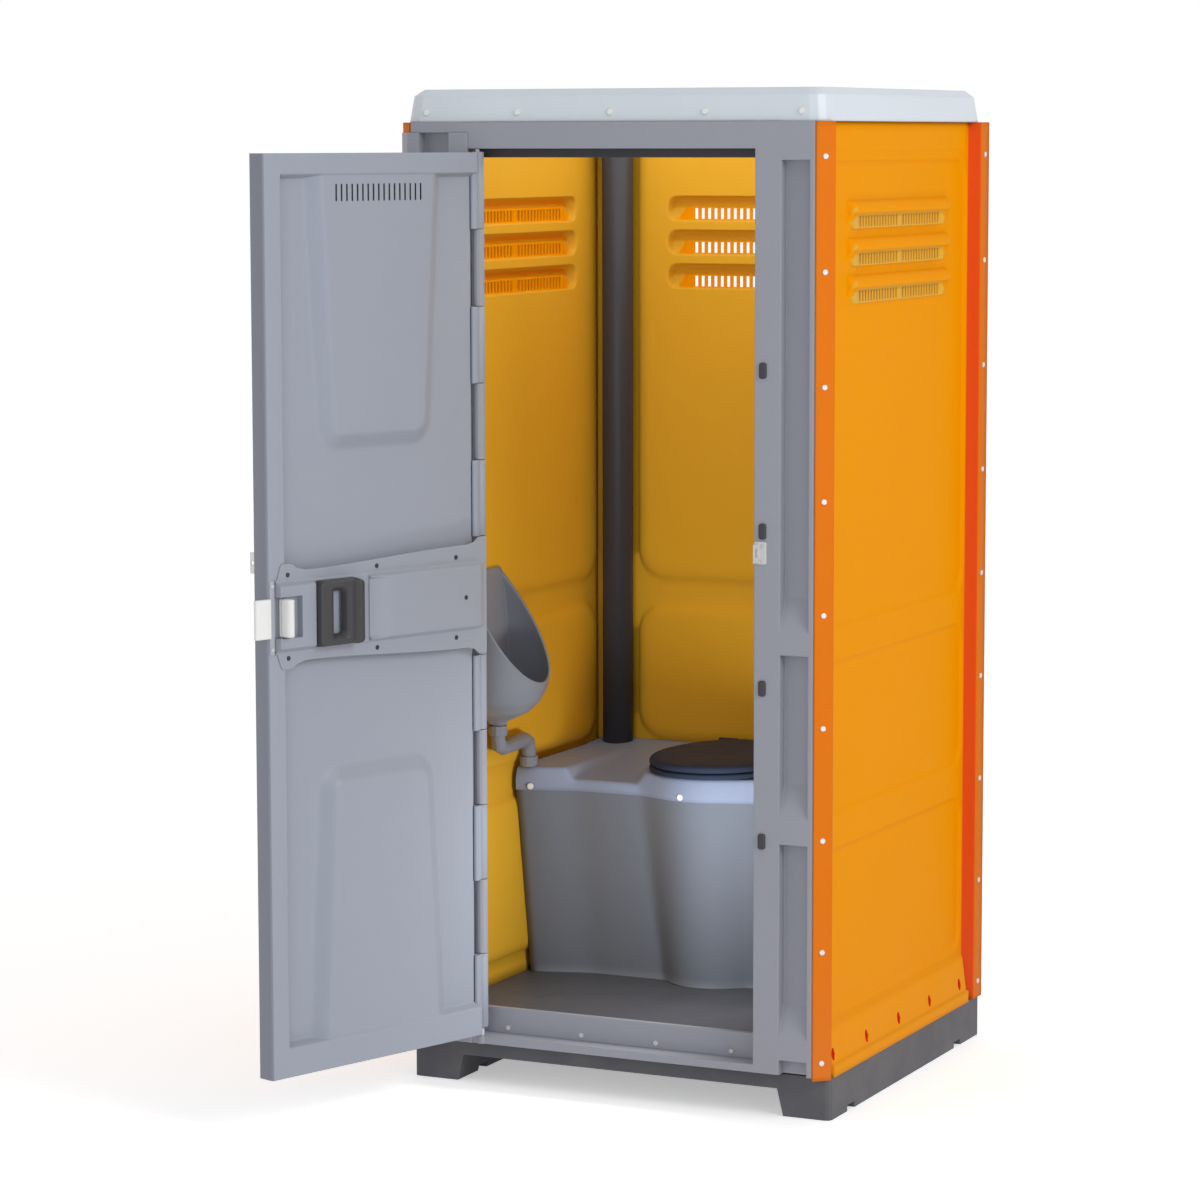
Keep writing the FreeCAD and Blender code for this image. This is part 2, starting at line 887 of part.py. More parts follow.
def knuckle_spans(first):
    """Heights of every second knuckle: 0 for the leaf's share, 1 for the frame's."""
    edges = [knuckle_top - knuckle_pitch * i for i in range(knuckles_each_end + 1)]
    edges += [knuckle_foot + knuckle_pitch * i for i in range(knuckles_each_end, -1, -1)]
    spans = []
    for i in range(first, len(edges) - 1, 2):
        spans.append((edges[i + 1] + knuckle_gap / 2, edges[i] - knuckle_gap / 2))
    return spans


def knuckle(z0, z1):
    return prism(ring(V(hinge_x, hinge_y, z0), UP, knuckle_radius, knuckle_sides), UP * (z1 - z0))


def hinge_rod():
    return rod(V(hinge_x, hinge_y, rod_foot), UP, rod_radius, lintel - rod_foot - rod_head_gap)


def leaf_point(s, o, z):
    """Place on the shut leaf from hinge distance, offset and height."""
    return V(hinge_x + s, leaf_inner_y + o, z)


def swing(shape):
    """Turn from the shut place to the open rest place."""
    turned = shape.copy()
    turned.rotate(V(hinge_x, hinge_y, 0), UP, -leaf_open_angle)
    return turned


def leaf_block(s0, s1, o0, o1, z0, z1):
    a = leaf_point(s0, o0, z0)
    return Part.makeBox(s1 - s0, o1 - o0, z1 - z0, a)


def leaf_slab(s0, s1, z0, z1, o0, o1, r):
    a = leaf_point(s0, o0, z0)
    b = leaf_point(s1, o1, z1)
    return slab("y", a.x, b.x, a.z, b.z, a.y, b.y, r)


def emboss(tip, root, narrow):
    """Raised tapering panel in the leaf's recess, from its narrow tip to its wide root in the border."""
    away = 1 if root > tip else -1
    outlines = []
    levels = (
        (0.0, -recess_depth - 1),
        (emboss_bevel - emboss_round, emboss_rise - recess_depth - emboss_edge),
        (emboss_bevel, emboss_rise - recess_depth),
    )
    for inset, o in levels:
        half_root = emboss_wide / 2 - inset
        half_tip = narrow / 2 - inset
        end = tip + away * inset
        outline = [
            (half_root, root),
            (half_tip, end + away * emboss_shoulder),
            (half_tip - emboss_shoulder, end),
            (emboss_shoulder - half_tip, end),
            (-half_tip, end + away * emboss_shoulder),
            (-half_root, root),
        ]
        outlines.append([leaf_point(emboss_centre + s, o, z) for s, z in outline])
    return stacked(outlines)


def door_leaf():
    """Twin-skin leaf with a recessed field, two raised tapering panels, vents and hinge knuckles."""
    section = [
        leaf_point(leaf_heel, 0, leaf_foot),
        leaf_point(leaf_reach, 0, leaf_foot),
        leaf_point(leaf_reach, -leaf_thick, leaf_foot),
        leaf_point(leaf_outer_heel, -leaf_thick, leaf_foot),
    ]
    body = prism(section, V(0, 0, leaf_head - leaf_foot))
    outlines = []
    for inset, o in ((recess_slope, -recess_depth), (0.0, 1.0)):
        corner = leaf_point(0, o, field_foot + inset)
        far = leaf_point(stile_start - inset, o, field_head - inset)
        outlines.append([corner, V(far.x, far.y, corner.z), far, V(corner.x, corner.y, far.z)])
    recess = stacked(outlines)
    rail = leaf_slab(
        latch_rail_start, stile_start + latch_rail_lap, latch_rail_foot, latch_rail_head,
        -recess_depth - 1, 0, latch_rail_corner,
    )
    upper = emboss(field_head - upper_emboss_height, field_head, upper_emboss_narrow)
    lower = emboss(field_foot + lower_emboss_height, field_foot, lower_emboss_narrow)
    shapes = [body.cut(recess), upper, lower, rail]
    for z0, z1 in knuckle_spans(0):
        shapes.append(knuckle(z0, z1))
        web_top = min(z1, leaf_head)
        web_foot = max(z0, leaf_foot)
        near = hinge_y - web_offset
        web_end = hinge_x + leaf_outer_heel + web_lap
        shapes.append(block(hinge_x, web_end, near, near + web_thick, web_foot, web_top))
    leaf = fused(shapes)
    cuts = [rod(V(hinge_x, hinge_y, 0), UP, rod_radius + rod_fit, wall_top)]
    vent_head = field_head - vent_drop
    for i in range(vent_slots):
        s = emboss_centre - vent_span / 2 + vent_span * i / (vent_slots - 1)
        half = vent_slot_width / 2
        cuts.append(leaf_block(s - half, s + half, -leaf_thick - 1, 1, vent_head - vent_length, vent_head))
    margin = outer_field_margin
    spans = (
        (leaf_foot + margin, latch_rail_foot - margin / 2),
        (latch_rail_head + margin / 2, leaf_head - margin),
    )
    for foot, head in spans:
        cuts.append(
            leaf_slab(
                leaf_outer_heel + margin, leaf_reach - margin, foot, head,
                -leaf_thick - 1, -leaf_thick + outer_field_depth, outer_field_corner,
            )
        )
    pull_end = leaf_reach - pull_end_gap
    cuts.append(
        leaf_slab(
            pull_end - pull_width, pull_end, latch_height - pull_height / 2, latch_height + pull_height / 2,
            -leaf_thick - 1, -leaf_thick + pull_depth, pull_width / 2 - 1,
        )
    )
    return swing(leaf.cut(Part.makeCompound(cuts)))


def latch_cover():
    """Raised latch housing across the leaf with its slide window, finger scoop and bolt mouth."""
    half = cover_band / 2
    upper = [(leaf_reach - gap, ear) for gap, ear in cover_flange] + list(cover_hinge_flange)
    lower = [(s, -ear) for s, ear in upper]
    flange = upper + lower[::-1]
    base = prism([leaf_point(s, 0, latch_height + z) for s, z in flange], V(0, cover_wall, 0))

    def housing(inset, rise, start):
        outlines = []
        for o, bevel in ((0.0, -cover_bevel), (rise, cover_bevel / 2)):
            z0 = latch_height - half + bevel + inset
            z1 = latch_height + half - bevel - inset
            a = leaf_point(start, o, z0)
            b = leaf_point(cover_end + inset, o, z1)
            outlines.append([a, V(b.x, a.y, a.z), b, V(a.x, b.y, b.z)])
        return stacked(outlines)

    shell = fused([base, housing(0.0, cover_rise, cover_start)])
    cavity = housing(cover_wall, cover_rise - cover_wall, leaf_reach - cover_cavity)
    slot_high = slide_height / 2 + slide_play
    opening = leaf_block(
        slide_start - bolt_travel - slide_play, slide_end + slide_play, -1, cover_rise + 1,
        latch_height - slot_high, latch_height + slot_high,
    )
    finger_high = bolt_height / 2 + slide_play
    finger = leaf_block(
        leaf_reach - finger_far, leaf_reach - finger_near + 1, cover_wall, cover_rise + 1,
        latch_height - finger_high, latch_height + finger_high,
    )
    scoop_s = slide_start - bolt_travel + cover_wall
    scoop_o = cover_rise + scoop_radius - scoop_bite
    scoop_foot = leaf_point(scoop_s, scoop_o, latch_height - half + scoop_margin)
    scoop = rod(scoop_foot, UP, scoop_radius, cover_band - 2 * scoop_margin)
    return swing(shell.cut(Part.makeCompound([cavity, opening, finger, scoop])))


def latch_slide():
    """Black sliding handle with a finger window and a raised grip at its hinge side."""
    low = bolt_lift + bolt_thick
    half = slide_height / 2
    z0 = latch_height - half
    z1 = latch_height + half
    plate = leaf_slab(slide_start, slide_end, z0, z1, low, cover_rise, slide_corner)
    root = cover_rise - 1
    grip_end = slide_start + slide_grip
    grip = leaf_slab(slide_start, grip_end, z0, z1, root, cover_rise + slide_grip_rise, slide_corner)
    rim_start = slide_end - slide_rim
    rim = leaf_slab(rim_start, slide_end, z0, z1, root, cover_rise + slide_rim_rise, slide_corner)
    window = leaf_slab(
        leaf_reach - slide_window_far, leaf_reach - slide_window_near,
        latch_height - slide_window_height / 2, latch_height + slide_window_height / 2,
        low - 1, cover_rise + 1, slide_corner,
    )
    return swing(fused([plate, grip, rim]).cut(window))


def latch_bolt():
    """Flat bolt with rounded nose corners and a half-round finger, shooting past the leaf's free edge."""
    half = bolt_height / 2
    z0 = latch_height - half
    z1 = latch_height + half
    tail = bolt_tip - bolt_length
    top = bolt_lift + bolt_thick
    plate = leaf_slab(tail, bolt_tip, z0, z1, bolt_lift, top, bolt_nose)
    square_tail = leaf_block(tail, tail + bolt_nose, bolt_lift, top, z0, z1)
    mid = leaf_reach - finger_far + bolt_travel + knob_radius
    foot = leaf_point(mid, top - knob_sink, z0 + knob_sink)
    knob = rod(foot, UP, knob_radius, bolt_height - 2 * knob_sink)
    room = leaf_block(mid - knob_radius, mid + knob_radius, bolt_lift, cover_rise, z0, z1)
    return swing(fused([plate, square_tail, knob.common(room)]))


def edge_faceplate():
    """Metal plate on the leaf's free edge stile, round the bolt's mouth."""
    s0 = leaf_reach - faceplate_far
    s1 = s0 + faceplate_width
    z0 = latch_height - faceplate_height / 2
    z1 = latch_height + faceplate_height / 2
    return swing(leaf_slab(s0, s1, z0, z1, 0, faceplate_thick, faceplate_corner))


def latch_screws():
    """Dark screws that hold the cover to the leaf."""
    heads = []
    for s in [cover_hinge_screw] + [leaf_reach - gap for gap in cover_screws_from_edge]:
        for sign in (-1, 1):
            place = leaf_point(s, cover_wall, latch_height + sign * cover_screw_spread)
            heads.append(stud(place, V(0, 1, 0), cover_screw_radius, screw_head))
    middle = leaf_point(cover_middle_screw, cover_rise, latch_height)
    heads.append(stud(middle, V(0, 1, 0), cover_screw_radius, screw_head))
    return swing(Part.makeCompound(heads))


def faceplate_screws():
    s = leaf_reach - faceplate_far + faceplate_width / 2
    heads = []
    for sign in (-1, 1):
        z = latch_height + sign * (faceplate_height / 2 - faceplate_screw_inset)
        place = leaf_point(s, faceplate_thick, z)
        heads.append(stud(place, V(0, 1, 0), faceplate_screw_radius, small_screw_head))
    return swing(Part.makeCompound(heads))


def hasp():
    """Small angle plate on the leaf's outer face with a hole for a padlock."""
    height = latch_height + hasp_rise
    z0 = height - hasp_length / 2
    z1 = height + hasp_length / 2
    end = leaf_reach - hasp_edge_gap
    plate = leaf_block(end - hasp_plate, end, -leaf_thick - plate_metal, -leaf_thick, z0, z1)
    ear = leaf_block(end - plate_metal, end, -leaf_thick - hasp_lip, -leaf_thick, z0, z1)
    start = leaf_point(end - hasp_lip, -leaf_thick - hasp_hole_reach, height)
    hole = prism(ring(start, V(1, 0, 0), hasp_hole, knuckle_sides), V(2 * hasp_lip, 0, 0))
    return swing(fused([plate, ear]).cut(hole))


def padlock_staple():
    """Bent plate on the latch jamb whose slotted lip takes a padlock."""
    x0 = doorway_right + staple_set
    height = latch_height + staple_rise
    z0 = height - staple_length / 2
    z1 = height + staple_length / 2
    plate = slab("y", x0, x0 + staple_width, z0, z1, front - plate_metal, front, staple_lip_trim)
    lip_x = x0 + staple_lip_set
    tip = front - staple_lip
    lip = block(lip_x, lip_x + staple_lip_thick, tip, front - 1, z0 + staple_lip_trim, z1 - staple_lip_trim)
    half = staple_slot_length / 2
    slot = block(
        lip_x - 1, lip_x + staple_lip_thick + 1, tip + staple_slot_edge, front - staple_slot_root,
        height - half, height + half,
    )
    return fused([plate, lip]).cut(slot)


def staple_screws():
    heads = []
    for sign in (-1, 1):
        z = latch_height + staple_rise + sign * staple_screw_spread
        place = V(doorway_right + staple_screw_set, front - plate_metal, z)
        heads.append(stud(place, V(0, -1, 0), staple_screw_radius, small_screw_head))
    return Part.makeCompound(heads)


def jamb_buffers():
    """Four dark pads on the latch jamb."""
    pads = []
    x = doorway_right + buffer_set
    top = front - buffer_thick
    levels = ((top, buffer_bevel), (top + buffer_bevel, 0.0), (front, 0.0))
    for rise in buffer_heights:
        z = latch_height + rise
        half_w = buffer_width / 2
        half_h = buffer_height / 2
        pads.append(pad("y", x - half_w, x + half_w, z - half_h, z + half_h, levels, buffer_corner))
    return Part.makeCompound(pads)


def roof_tray():
    """Translucent tray roof: drafted skirt, crowned corners, hollow below."""
    half_w = half_width - roof_set
    half_d = half_depth - roof_set
    skirt_top = wall_top + roof_skirt
    outer = pad(
        "z", -half_w, half_w, -half_d, half_d,
        ((wall_top, 0.0), (skirt_top, roof_draft), (roof_top, roof_crown_inset)), roof_corner,
    )
    crown = (roof_top - roof_wall, roof_crown_inset - roof_wall)
    inner = pad(
        "z", -half_w + roof_lip, half_w - roof_lip, -half_d + roof_lip, half_d - roof_lip,
        ((wall_top - 1, 0.0), (skirt_top - roof_wall, roof_draft), crown), roof_corner,
    )
    return outer.cut(inner)


def roof_rosettes():
    """Round-headed screws along the roof's front and back skirts."""
    heads = []
    lean = roof_draft / roof_skirt
    face_y = half_depth - roof_set - lean * rosette_rise
    for i in range(-rosettes_each_side, rosettes_each_side + 1):
        for sign in (-1, 1):
            face = V(rosette_pitch * i, sign * face_y, wall_top + rosette_rise)
            heads.append(stud(face, V(0, sign, lean).normalize(), rosette_radius, rosette_head))
    return Part.makeCompound(heads)


def wall_rivets():
    """Rivet heads up the front flange and the back corner of the side walls."""
    heads = []
    slant = V(1, -1, 0).normalize()
    middle = corner_cut / 2
    first = wall_top - rivet_top_gap
    pitch = (first - wall_foot - rivet_foot_gap) / (rivets - 1)
    for i in range(rivets):
        z = first - pitch * i
        place = V(half_width - middle, front + middle, z)
        heads.append(stud(place, slant, rivet_radius, rivet_head))
        far = V(half_width, half_depth - back_corner_depth / 2, z)
        heads.append(stud(far, V(1, 0, 0), rivet_radius, rivet_head))
        heads.append(stud(V(-half_width, far.y, z), V(-1, 0, 0), rivet_radius, rivet_head))
    return Part.makeCompound(heads)


def sill_screws():
    heads = []
    face = front + plinth_front_set - skin
    for i in range(sill_screws_across):
        x = sill_screw_pitch * (i - (sill_screws_across - 1) / 2)
        place = V(x, face, ledge_top + sill_screw_rise)
        heads.append(stud(place, V(0, -1, 0), sill_screw_radius, screw_head))
    return Part.makeCompound(heads)


def tank_plan(level, z, grow, side):
    """Plan of the tank with two bent wings; level 0 is the rim, 1 the foot, grow moves the front out."""
    near = back_pillow_face - tank_depth[level] - grow
    bend = pillow_face - wing_bend
    bow = wing_bow * (side - bend) / wing_bend
    corners = [
        (-side, near - bow), (-bend, near), (bend, near),
        (side, near - bow), (side, back_pillow_face), (-side, back_pillow_face),
    ]
    return [V(x, y, z) for x, y in corners]


def lobe_ring(z, grow):
    """Outline of the round bow below the seat, which leans outwards up to the rim."""
    share = (z - floor_top) / (tank_top - floor_top)
    radius = lobe_radius[1] + (lobe_radius[0] - lobe_radius[1]) * share + grow
    return ring(V(lobe_x, lobe_y, z), UP, radius, lobe_sides)


def tank_body():
    """Open waste tank with a leaning front and a round lobe under the seat."""

    def form(grow):
        plans = [tank_plan(1, floor_top, grow, pillow_face), tank_plan(0, tank_top, grow, pillow_face)]
        return fused([stacked(plans), stacked([lobe_ring(floor_top, grow), lobe_ring(tank_top, grow)])])

    side = pillow_face - tank_wall
    far = back_pillow_face - tank_wall
    keep = block(-side, side, front, far, floor_top + tank_wall, tank_top)
    return form(0).cut(form(-tank_wall).common(keep))


def deck_height(y, lower):
    """Height of the sloping deck at depth y."""
    near = back_pillow_face - tank_depth[0]
    share = (y - near) / (back_liner_face - near)
    return floor_top + deck_front_rise + (deck_back_rise - deck_front_rise) * share - lower


def under_deck(lower, near, far):
    """Space below the deck's sloping face."""
    side = half_width
    points = [
        V(-side, near, 0), V(-side, far, 0),
        V(-side, far, deck_height(far, lower)), V(-side, near, deck_height(near, lower)),
    ]
    return prism(points, V(2 * side, 0, 0))


def oval(inset, z):
    """Seat outline: round front, full flanks and a blunter back."""
    half = seat_width / 2 - inset
    near = seat_far - seat_length + inset
    far = seat_far - inset
    widest = seat_far - seat_length * (1 - oval_widest)
    points = []
    for i in range(oval_sides + 1):
        angle = math.pi * i / oval_sides
        points.append(V(seat_x - half * math.cos(angle), widest - (widest - near) * math.sin(angle), z))
    flank = (widest + far) / 2
    side = [(half * oval_flank, flank), (half * oval_back, far)]
    points += [V(seat_x + x, y, z) for x, y in side]
    points += [V(seat_x - x, y, z) for x, y in side[::-1]]
    return points


def oval_plate(inset, z, thick, bevel):
    """Oval plate with a bevelled upper rim."""
    levels = ((inset, z), (inset, z + thick - bevel), (inset + bevel, z + thick))
    return stacked([oval(edge, height) for edge, height in levels])


def seat_hole(z0, z1):
    """Opening through the deck below the seat."""
    return prism(oval(seat_ring - hole_inset, z0), UP * (z1 - z0))


def platform(z0, z1):
    """Raised platform for the pipes along the left wall, with a curved nose at the front."""
    side = liner_face
    near = back_pillow_face - tank_depth[0] - wing_bow
    edge = pipe_x + platform_past_pipe
    reach = edge + side
    plan = [(-side, near - rim_overhang - wing_bow)]
    for depth, share in platform_nose:
        plan.append((share / 100 * reach - side, near + depth))
    plan += [(edge, back_pillow_face), (-side, back_pillow_face)]
    return prism([V(x, y, z0) for x, y in plan], V(0, 0, z1 - z0))


def tank_deck():
    """Tank lid: rim, sloping deck, raised pipe platform and seat collar, open below the seat."""
    tall = UP * (wall_top - tank_rim_foot)
    wings = prism(tank_plan(0, tank_rim_foot, rim_overhang, liner_face), tall)
    lobe = ring(V(lobe_x, lobe_y, tank_rim_foot), UP, lobe_radius[0] + rim_overhang, lobe_sides)
    deck = fused([wings, prism(lobe, tall)]).common(under_deck(0, front, half_depth))
    raised = wings.common(platform(tank_rim_foot, platform_top))
    to_pad = UP * (seat_pad_top - tank_rim_foot)
    collar = prism(lobe, to_pad)
    bed = prism(oval(-seat_bed_margin, tank_rim_foot), to_pad).common(fused([wings, collar]))
    solid = fused([deck, raised, collar, bed])
    above_bed = prism(oval(-seat_bed_margin, seat_pad_top), UP * tank_height)
    above_platform = platform(platform_top, wall_top)
    body_wings = prism(tank_plan(0, tank_rim_foot, 0, pillow_face), UP * tank_rim_drop)
    body_lobe = stacked([lobe_ring(tank_rim_foot, 0), lobe_ring(tank_top, 0)])
    below = prism(tank_plan(0, tank_top, -deck_shelf, pillow_face), UP * tank_height)
    inner_side = pillow_face - deck_shelf
    inner_far = back_pillow_face - deck_shelf
    below = below.common(block(-inner_side, inner_side, front, inner_far, tank_top, wall_top))
    below = below.common(under_deck(deck_wall, front, half_depth))
    for cutter in (above_bed, above_platform, body_wings, body_lobe, below):
        solid = solid.cut(cutter)
    return solid.cut(seat_hole(tank_rim_foot, seat_pad_top + seat_thick))


def tank_screws():
    """Washer heads on the rim's front, one on the left wing and one on the lobe."""
    z = floor_top + tank_screw_rise
    near = back_pillow_face - tank_depth[0] - rim_overhang
    wing_x = wing_screw_set - pillow_face
    wing_y = near - wing_bow * (wing_bend - wing_screw_set) / wing_bend
    slope = V(wing_bow, -wing_bend, 0).normalize()
    screw_y = lobe_y - (lobe_radius[0] + rim_overhang) * math.cos(math.pi / lobe_sides)
    on_wing = stud(V(wing_x, wing_y, z), slope, tank_screw_radius, rivet_head)
    on_lobe = stud(V(lobe_x + lobe_screw_set, screw_y, z), V(0, -1, 0), tank_screw_radius, rivet_head)
    return Part.makeCompound([on_wing, on_lobe])


def seat():
    """Seat: flat ring with a bevelled rim, cut back for the hinge blocks."""
    plate = oval_plate(0.0, seat_pad_top, seat_thick, seat_bevel)
    hole = prism(oval(seat_ring, seat_pad_top), UP * seat_thick)
    return plate.cut(hole).cut(hinge_slots(seat_pad_top, seat_pad_top + seat_thick))


def hinge_slots(z0, z1):
    """Room at the back for the hinge blocks."""
    near = seat_far - hinge_block[1]
    far = seat_far + lid_overhang + 1
    half = hinge_block[0] / 2 + lid_gap
    cuts = []
    for sign in (-1, 1):
        x = seat_x + sign * seat_pin_spread
        cuts.append(block(x - half, x + half, near, far, z0 - 1, z1 + lid_crown + 1))
    return Part.makeCompound(cuts)


def lid_hinge_z():
    return seat_pad_top + seat_thick + lid_gap + lid_thick / 2


def lid_hinge_y():
    return seat_far - hinge_block[1] / 2


def lid_pins(radius):
    """The two short pins that the lid turns on, between the hinge blocks."""
    pins = []
    for sign in (-1, 1):
        x = seat_x + sign * (seat_pin_spread - hinge_block[0] / 2)
        start = min(x, x - sign * seat_pin_length)
        pins.append(rod(V(start, lid_hinge_y(), lid_hinge_z()), V(1, 0, 0), radius, seat_pin_length))
    return pins


def seat_lid():
    """Lid: bevelled plate with a low crown and a round barrel between the hinge blocks."""
    z = seat_pad_top + seat_thick + lid_gap
    plate = oval_plate(-lid_overhang, z, lid_thick, lid_bevel)
    crown = prism(oval(lid_crown_inset, z + lid_thick), UP * lid_crown)
    lid = fused([plate, crown]).cut(hinge_slots(z, z + lid_thick))
    behind = block(-half_width, half_width, lid_hinge_y(), half_depth, z - 1, z + lid_thick + lid_crown + 1)
    reach = seat_pin_spread - hinge_block[0] / 2 - lid_gap
    end = V(seat_x - reach, lid_hinge_y(), lid_hinge_z())
    barrel = prism(ring(end, V(1, 0, 0), lid_thick / 2, knuckle_sides), V(2 * reach, 0, 0))
    bores = Part.makeCompound(lid_pins(seat_pin_radius + rod_fit))
    return fused([lid.cut(behind), barrel]).cut(bores)


def seat_hinge():
    """Two round-topped blocks behind the seat with the pins that the lid turns on."""
    shapes = []
    pins = lid_pins(seat_pin_radius)
    y = lid_hinge_y()
    half = hinge_block[0] / 2
    deep = hinge_post_depth / 2
    for sign, pin in zip((-1, 1), pins):
        x = seat_x + sign * seat_pin_spread
        post = block(x - half, x + half, y - deep, y + deep, seat_pad_top, lid_hinge_z())
        round_top = ring(V(x - half, y, lid_hinge_z()), V(1, 0, 0), deep, knuckle_sides)
        barrel = prism(round_top, V(2 * half, 0, 0))
        shapes.append(fused([post, barrel, pin]))
    return Part.makeCompound(shapes)


def bowl_form(inset, lift, sides):
    """Half-round bowl that runs back to the wall, as stacked outlines."""
    wall = -pillow_face
    outlines = []
    for radius, height in urinal_profile:
        z = urinal_foot + max(height, lift)
        r = radius - inset
        points = [V(wall, urinal_y - r, z)]
        for i in range(sides + 1):
            angle = math.pi * (i / sides - 0.5)
            points.append(V(drain_x + r * math.cos(angle), urinal_y + r * math.sin(angle), z))
        points.append(V(wall, urinal_y + r, z))
        if not outlines or z > outlines[-1][0].z:
            outlines.append(points)
    return stacked(outlines)


def urinal():
    """Wall bowl with flat sides back to the wall, a slanted mouth and a drain stub."""
    wall = -pillow_face
    wide = max(r for r, h in urinal_profile) + 1
    lip_x = wall + urinal_lip_reach
    mouth = [
        V(wall + urinal_back, urinal_y - wide, urinal_top + 1),
        V(wall + urinal_back, urinal_y - wide, urinal_top - urinal_back),
        V(lip_x, urinal_y - wide, urinal_lip),
        V(lip_x + wide, urinal_y - wide, urinal_lip),
        V(lip_x + wide, urinal_y - wide, urinal_top + 1),
    ]
    back = block(wall, wall + urinal_back, urinal_y - wide, urinal_y + wide, urinal_foot, urinal_top)
    floor_height = urinal_profile[1][1] + urinal_floor
    hollow = bowl_form(urinal_wall, floor_height, urinal_sides).cut(back)
    bowl = bowl_form(0.0, 0.0, urinal_sides).cut(hollow).cut(prism(mouth, V(0, 2 * wide, 0)))
    return bowl.cut(rod(V(drain_x, urinal_y, urinal_foot - 1), UP, drain_bore, floor_height + urinal_wall))


def drain_run(radius):
    """Solid of one radius along the drain: down, along the wall and down again, with cut elbows."""
    start = V(drain_x, urinal_y, drain_level)
    turn = V(drain_foot_x, drain_foot_y, drain_level)
    along = (turn - start).normalize()
    level = V(along.y, -along.x, 0)
    r = drain_elbow
    near = r * (1 - math.sqrt(0.5))
    stations = (
        (V(start.x, start.y, urinal_foot - collar_height), 0.0),
        (start + UP * r, 0.0),
        (start + UP * near + along * near, 45.0),
        (start + along * r, 90.0),
        (turn - along * r, 90.0),
        (turn - along * near - UP * near, 45.0),
        (turn - UP * r, 0.0),
        (V(turn.x, turn.y, platform_top + collar_height), 0.0),
    )
    outlines = []
    for place, lean in stations:
        raised = along * math.cos(math.radians(lean)) + UP * math.sin(math.radians(lean))
        points = []
        for i in range(drain_sides):
            angle = 2 * math.pi * i / drain_sides
            points.append(place + level * (radius * math.cos(angle)) + raised * (radius * math.sin(angle)))
        outlines.append(points)
    return stacked(outlines)


def drain_pipe():
    """Drain from the bowl to the tank, with its bore."""
    return drain_run(drain_radius).cut(drain_run(drain_bore))


def drain_collars():
    """Union nuts under the bowl and on the tank deck."""
    shapes = []
    upper = V(drain_x, urinal_y, urinal_foot - collar_height)
    lower = V(drain_foot_x, drain_foot_y, platform_top)
    for foot in (upper, lower):
        nut = prism(ring(foot, UP, collar_radius, drain_sides), UP * collar_height)
        bore = prism(ring(foot - UP, UP, drain_bore, drain_sides), UP * (collar_height + 2))
        shapes.append(nut.cut(bore))
    return Part.makeCompound(shapes)


def vent_pipe():
    """Tall vent pipe from the deck to the roof."""
    y = back_liner_face - pipe_gap - pipe_radius
    foot = V(pipe_x, y, platform_top)
    length = roof_top - pipe_head_gap - platform_top
    return rod(foot, UP, pipe_radius, length).cut(rod(foot, UP, pipe_radius - pipe_wall, length))


os.makedirs("parts", exist_ok=True)

export("base_pallet", base_pallet())
export("floor_plate", floor_plate())
right_outer = side_outer()
right_liner = side_liner()
export("right_wall_outer", right_outer)
export("left_wall_outer", across(right_outer))
export("right_wall_liner", right_liner)
export("left_wall_liner", across(right_liner))
export("back_wall_outer", back_outer())
export("back_wall_liner", back_liner())
export("door_frame", door_frame())
export("hinge_post", hinge_post())
export("header_stop", header_stop())
export("sill_plate", sill_plate())
export("sill_screws", sill_screws())
export("hinge_rod", hinge_rod())
export("door_leaf", door_leaf())
export("latch_cover", latch_cover())
export("latch_screws", latch_screws())
export("latch_slide", latch_slide())
export("latch_bolt", latch_bolt())
export("edge_faceplate", edge_faceplate())
export("faceplate_screws", faceplate_screws())
export("hasp", hasp())
export("padlock_staple", padlock_staple())
export("staple_screws", staple_screws())
export("jamb_buffers", jamb_buffers())
export("roof_tray", roof_tray())
export("roof_rosettes", roof_rosettes())
export("wall_rivets", wall_rivets())
export("tank_body", tank_body())
export("tank_deck", tank_deck())
export("tank_screws", tank_screws())
export("seat", seat())
export("seat_lid", seat_lid())
export("seat_hinge", seat_hinge())
export("urinal", urinal())
export("drain_pipe", drain_pipe())
export("drain_collars", drain_collars())
export("vent_pipe", vent_pipe())
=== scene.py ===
import bpy
import bmesh
import math
from mathutils import Matrix, Vector


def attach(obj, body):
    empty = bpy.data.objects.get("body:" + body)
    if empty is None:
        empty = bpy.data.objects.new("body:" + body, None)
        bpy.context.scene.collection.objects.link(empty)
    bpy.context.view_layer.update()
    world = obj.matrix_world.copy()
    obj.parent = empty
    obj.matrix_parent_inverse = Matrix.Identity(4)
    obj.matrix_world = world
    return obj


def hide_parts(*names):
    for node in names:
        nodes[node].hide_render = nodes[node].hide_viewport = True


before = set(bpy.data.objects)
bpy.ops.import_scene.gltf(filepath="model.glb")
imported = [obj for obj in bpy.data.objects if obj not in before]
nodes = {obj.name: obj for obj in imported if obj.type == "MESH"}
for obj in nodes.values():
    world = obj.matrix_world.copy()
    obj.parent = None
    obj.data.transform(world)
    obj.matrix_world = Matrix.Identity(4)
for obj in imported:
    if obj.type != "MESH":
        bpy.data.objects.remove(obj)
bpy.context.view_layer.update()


# Pallet base
# One deep black moulding with two skids, cast in a rough tool and scuffed by forks and gravel. Its skin,
# like every skin here, has a fine orange-peel grain, cloudy changes of tone and an edge colour on its
# rounded edges, which is partly rubbed wear and partly painted highlight, and on the liners painted shade.
def add_socket(group, name, kind, direction, default=None):
    socket = group.interface.new_socket(name, in_out=direction, socket_type=kind)
    if default is not None:
        socket.default_value = default
    return socket


def link(tree, a, b):
    tree.links.new(a, b)


def feed(tree, socket, value):
    """Set a socket to a constant, or link another node's output to it."""
    if isinstance(value, (int, float, tuple)):
        socket.default_value = value
    else:
        link(tree, value, socket)


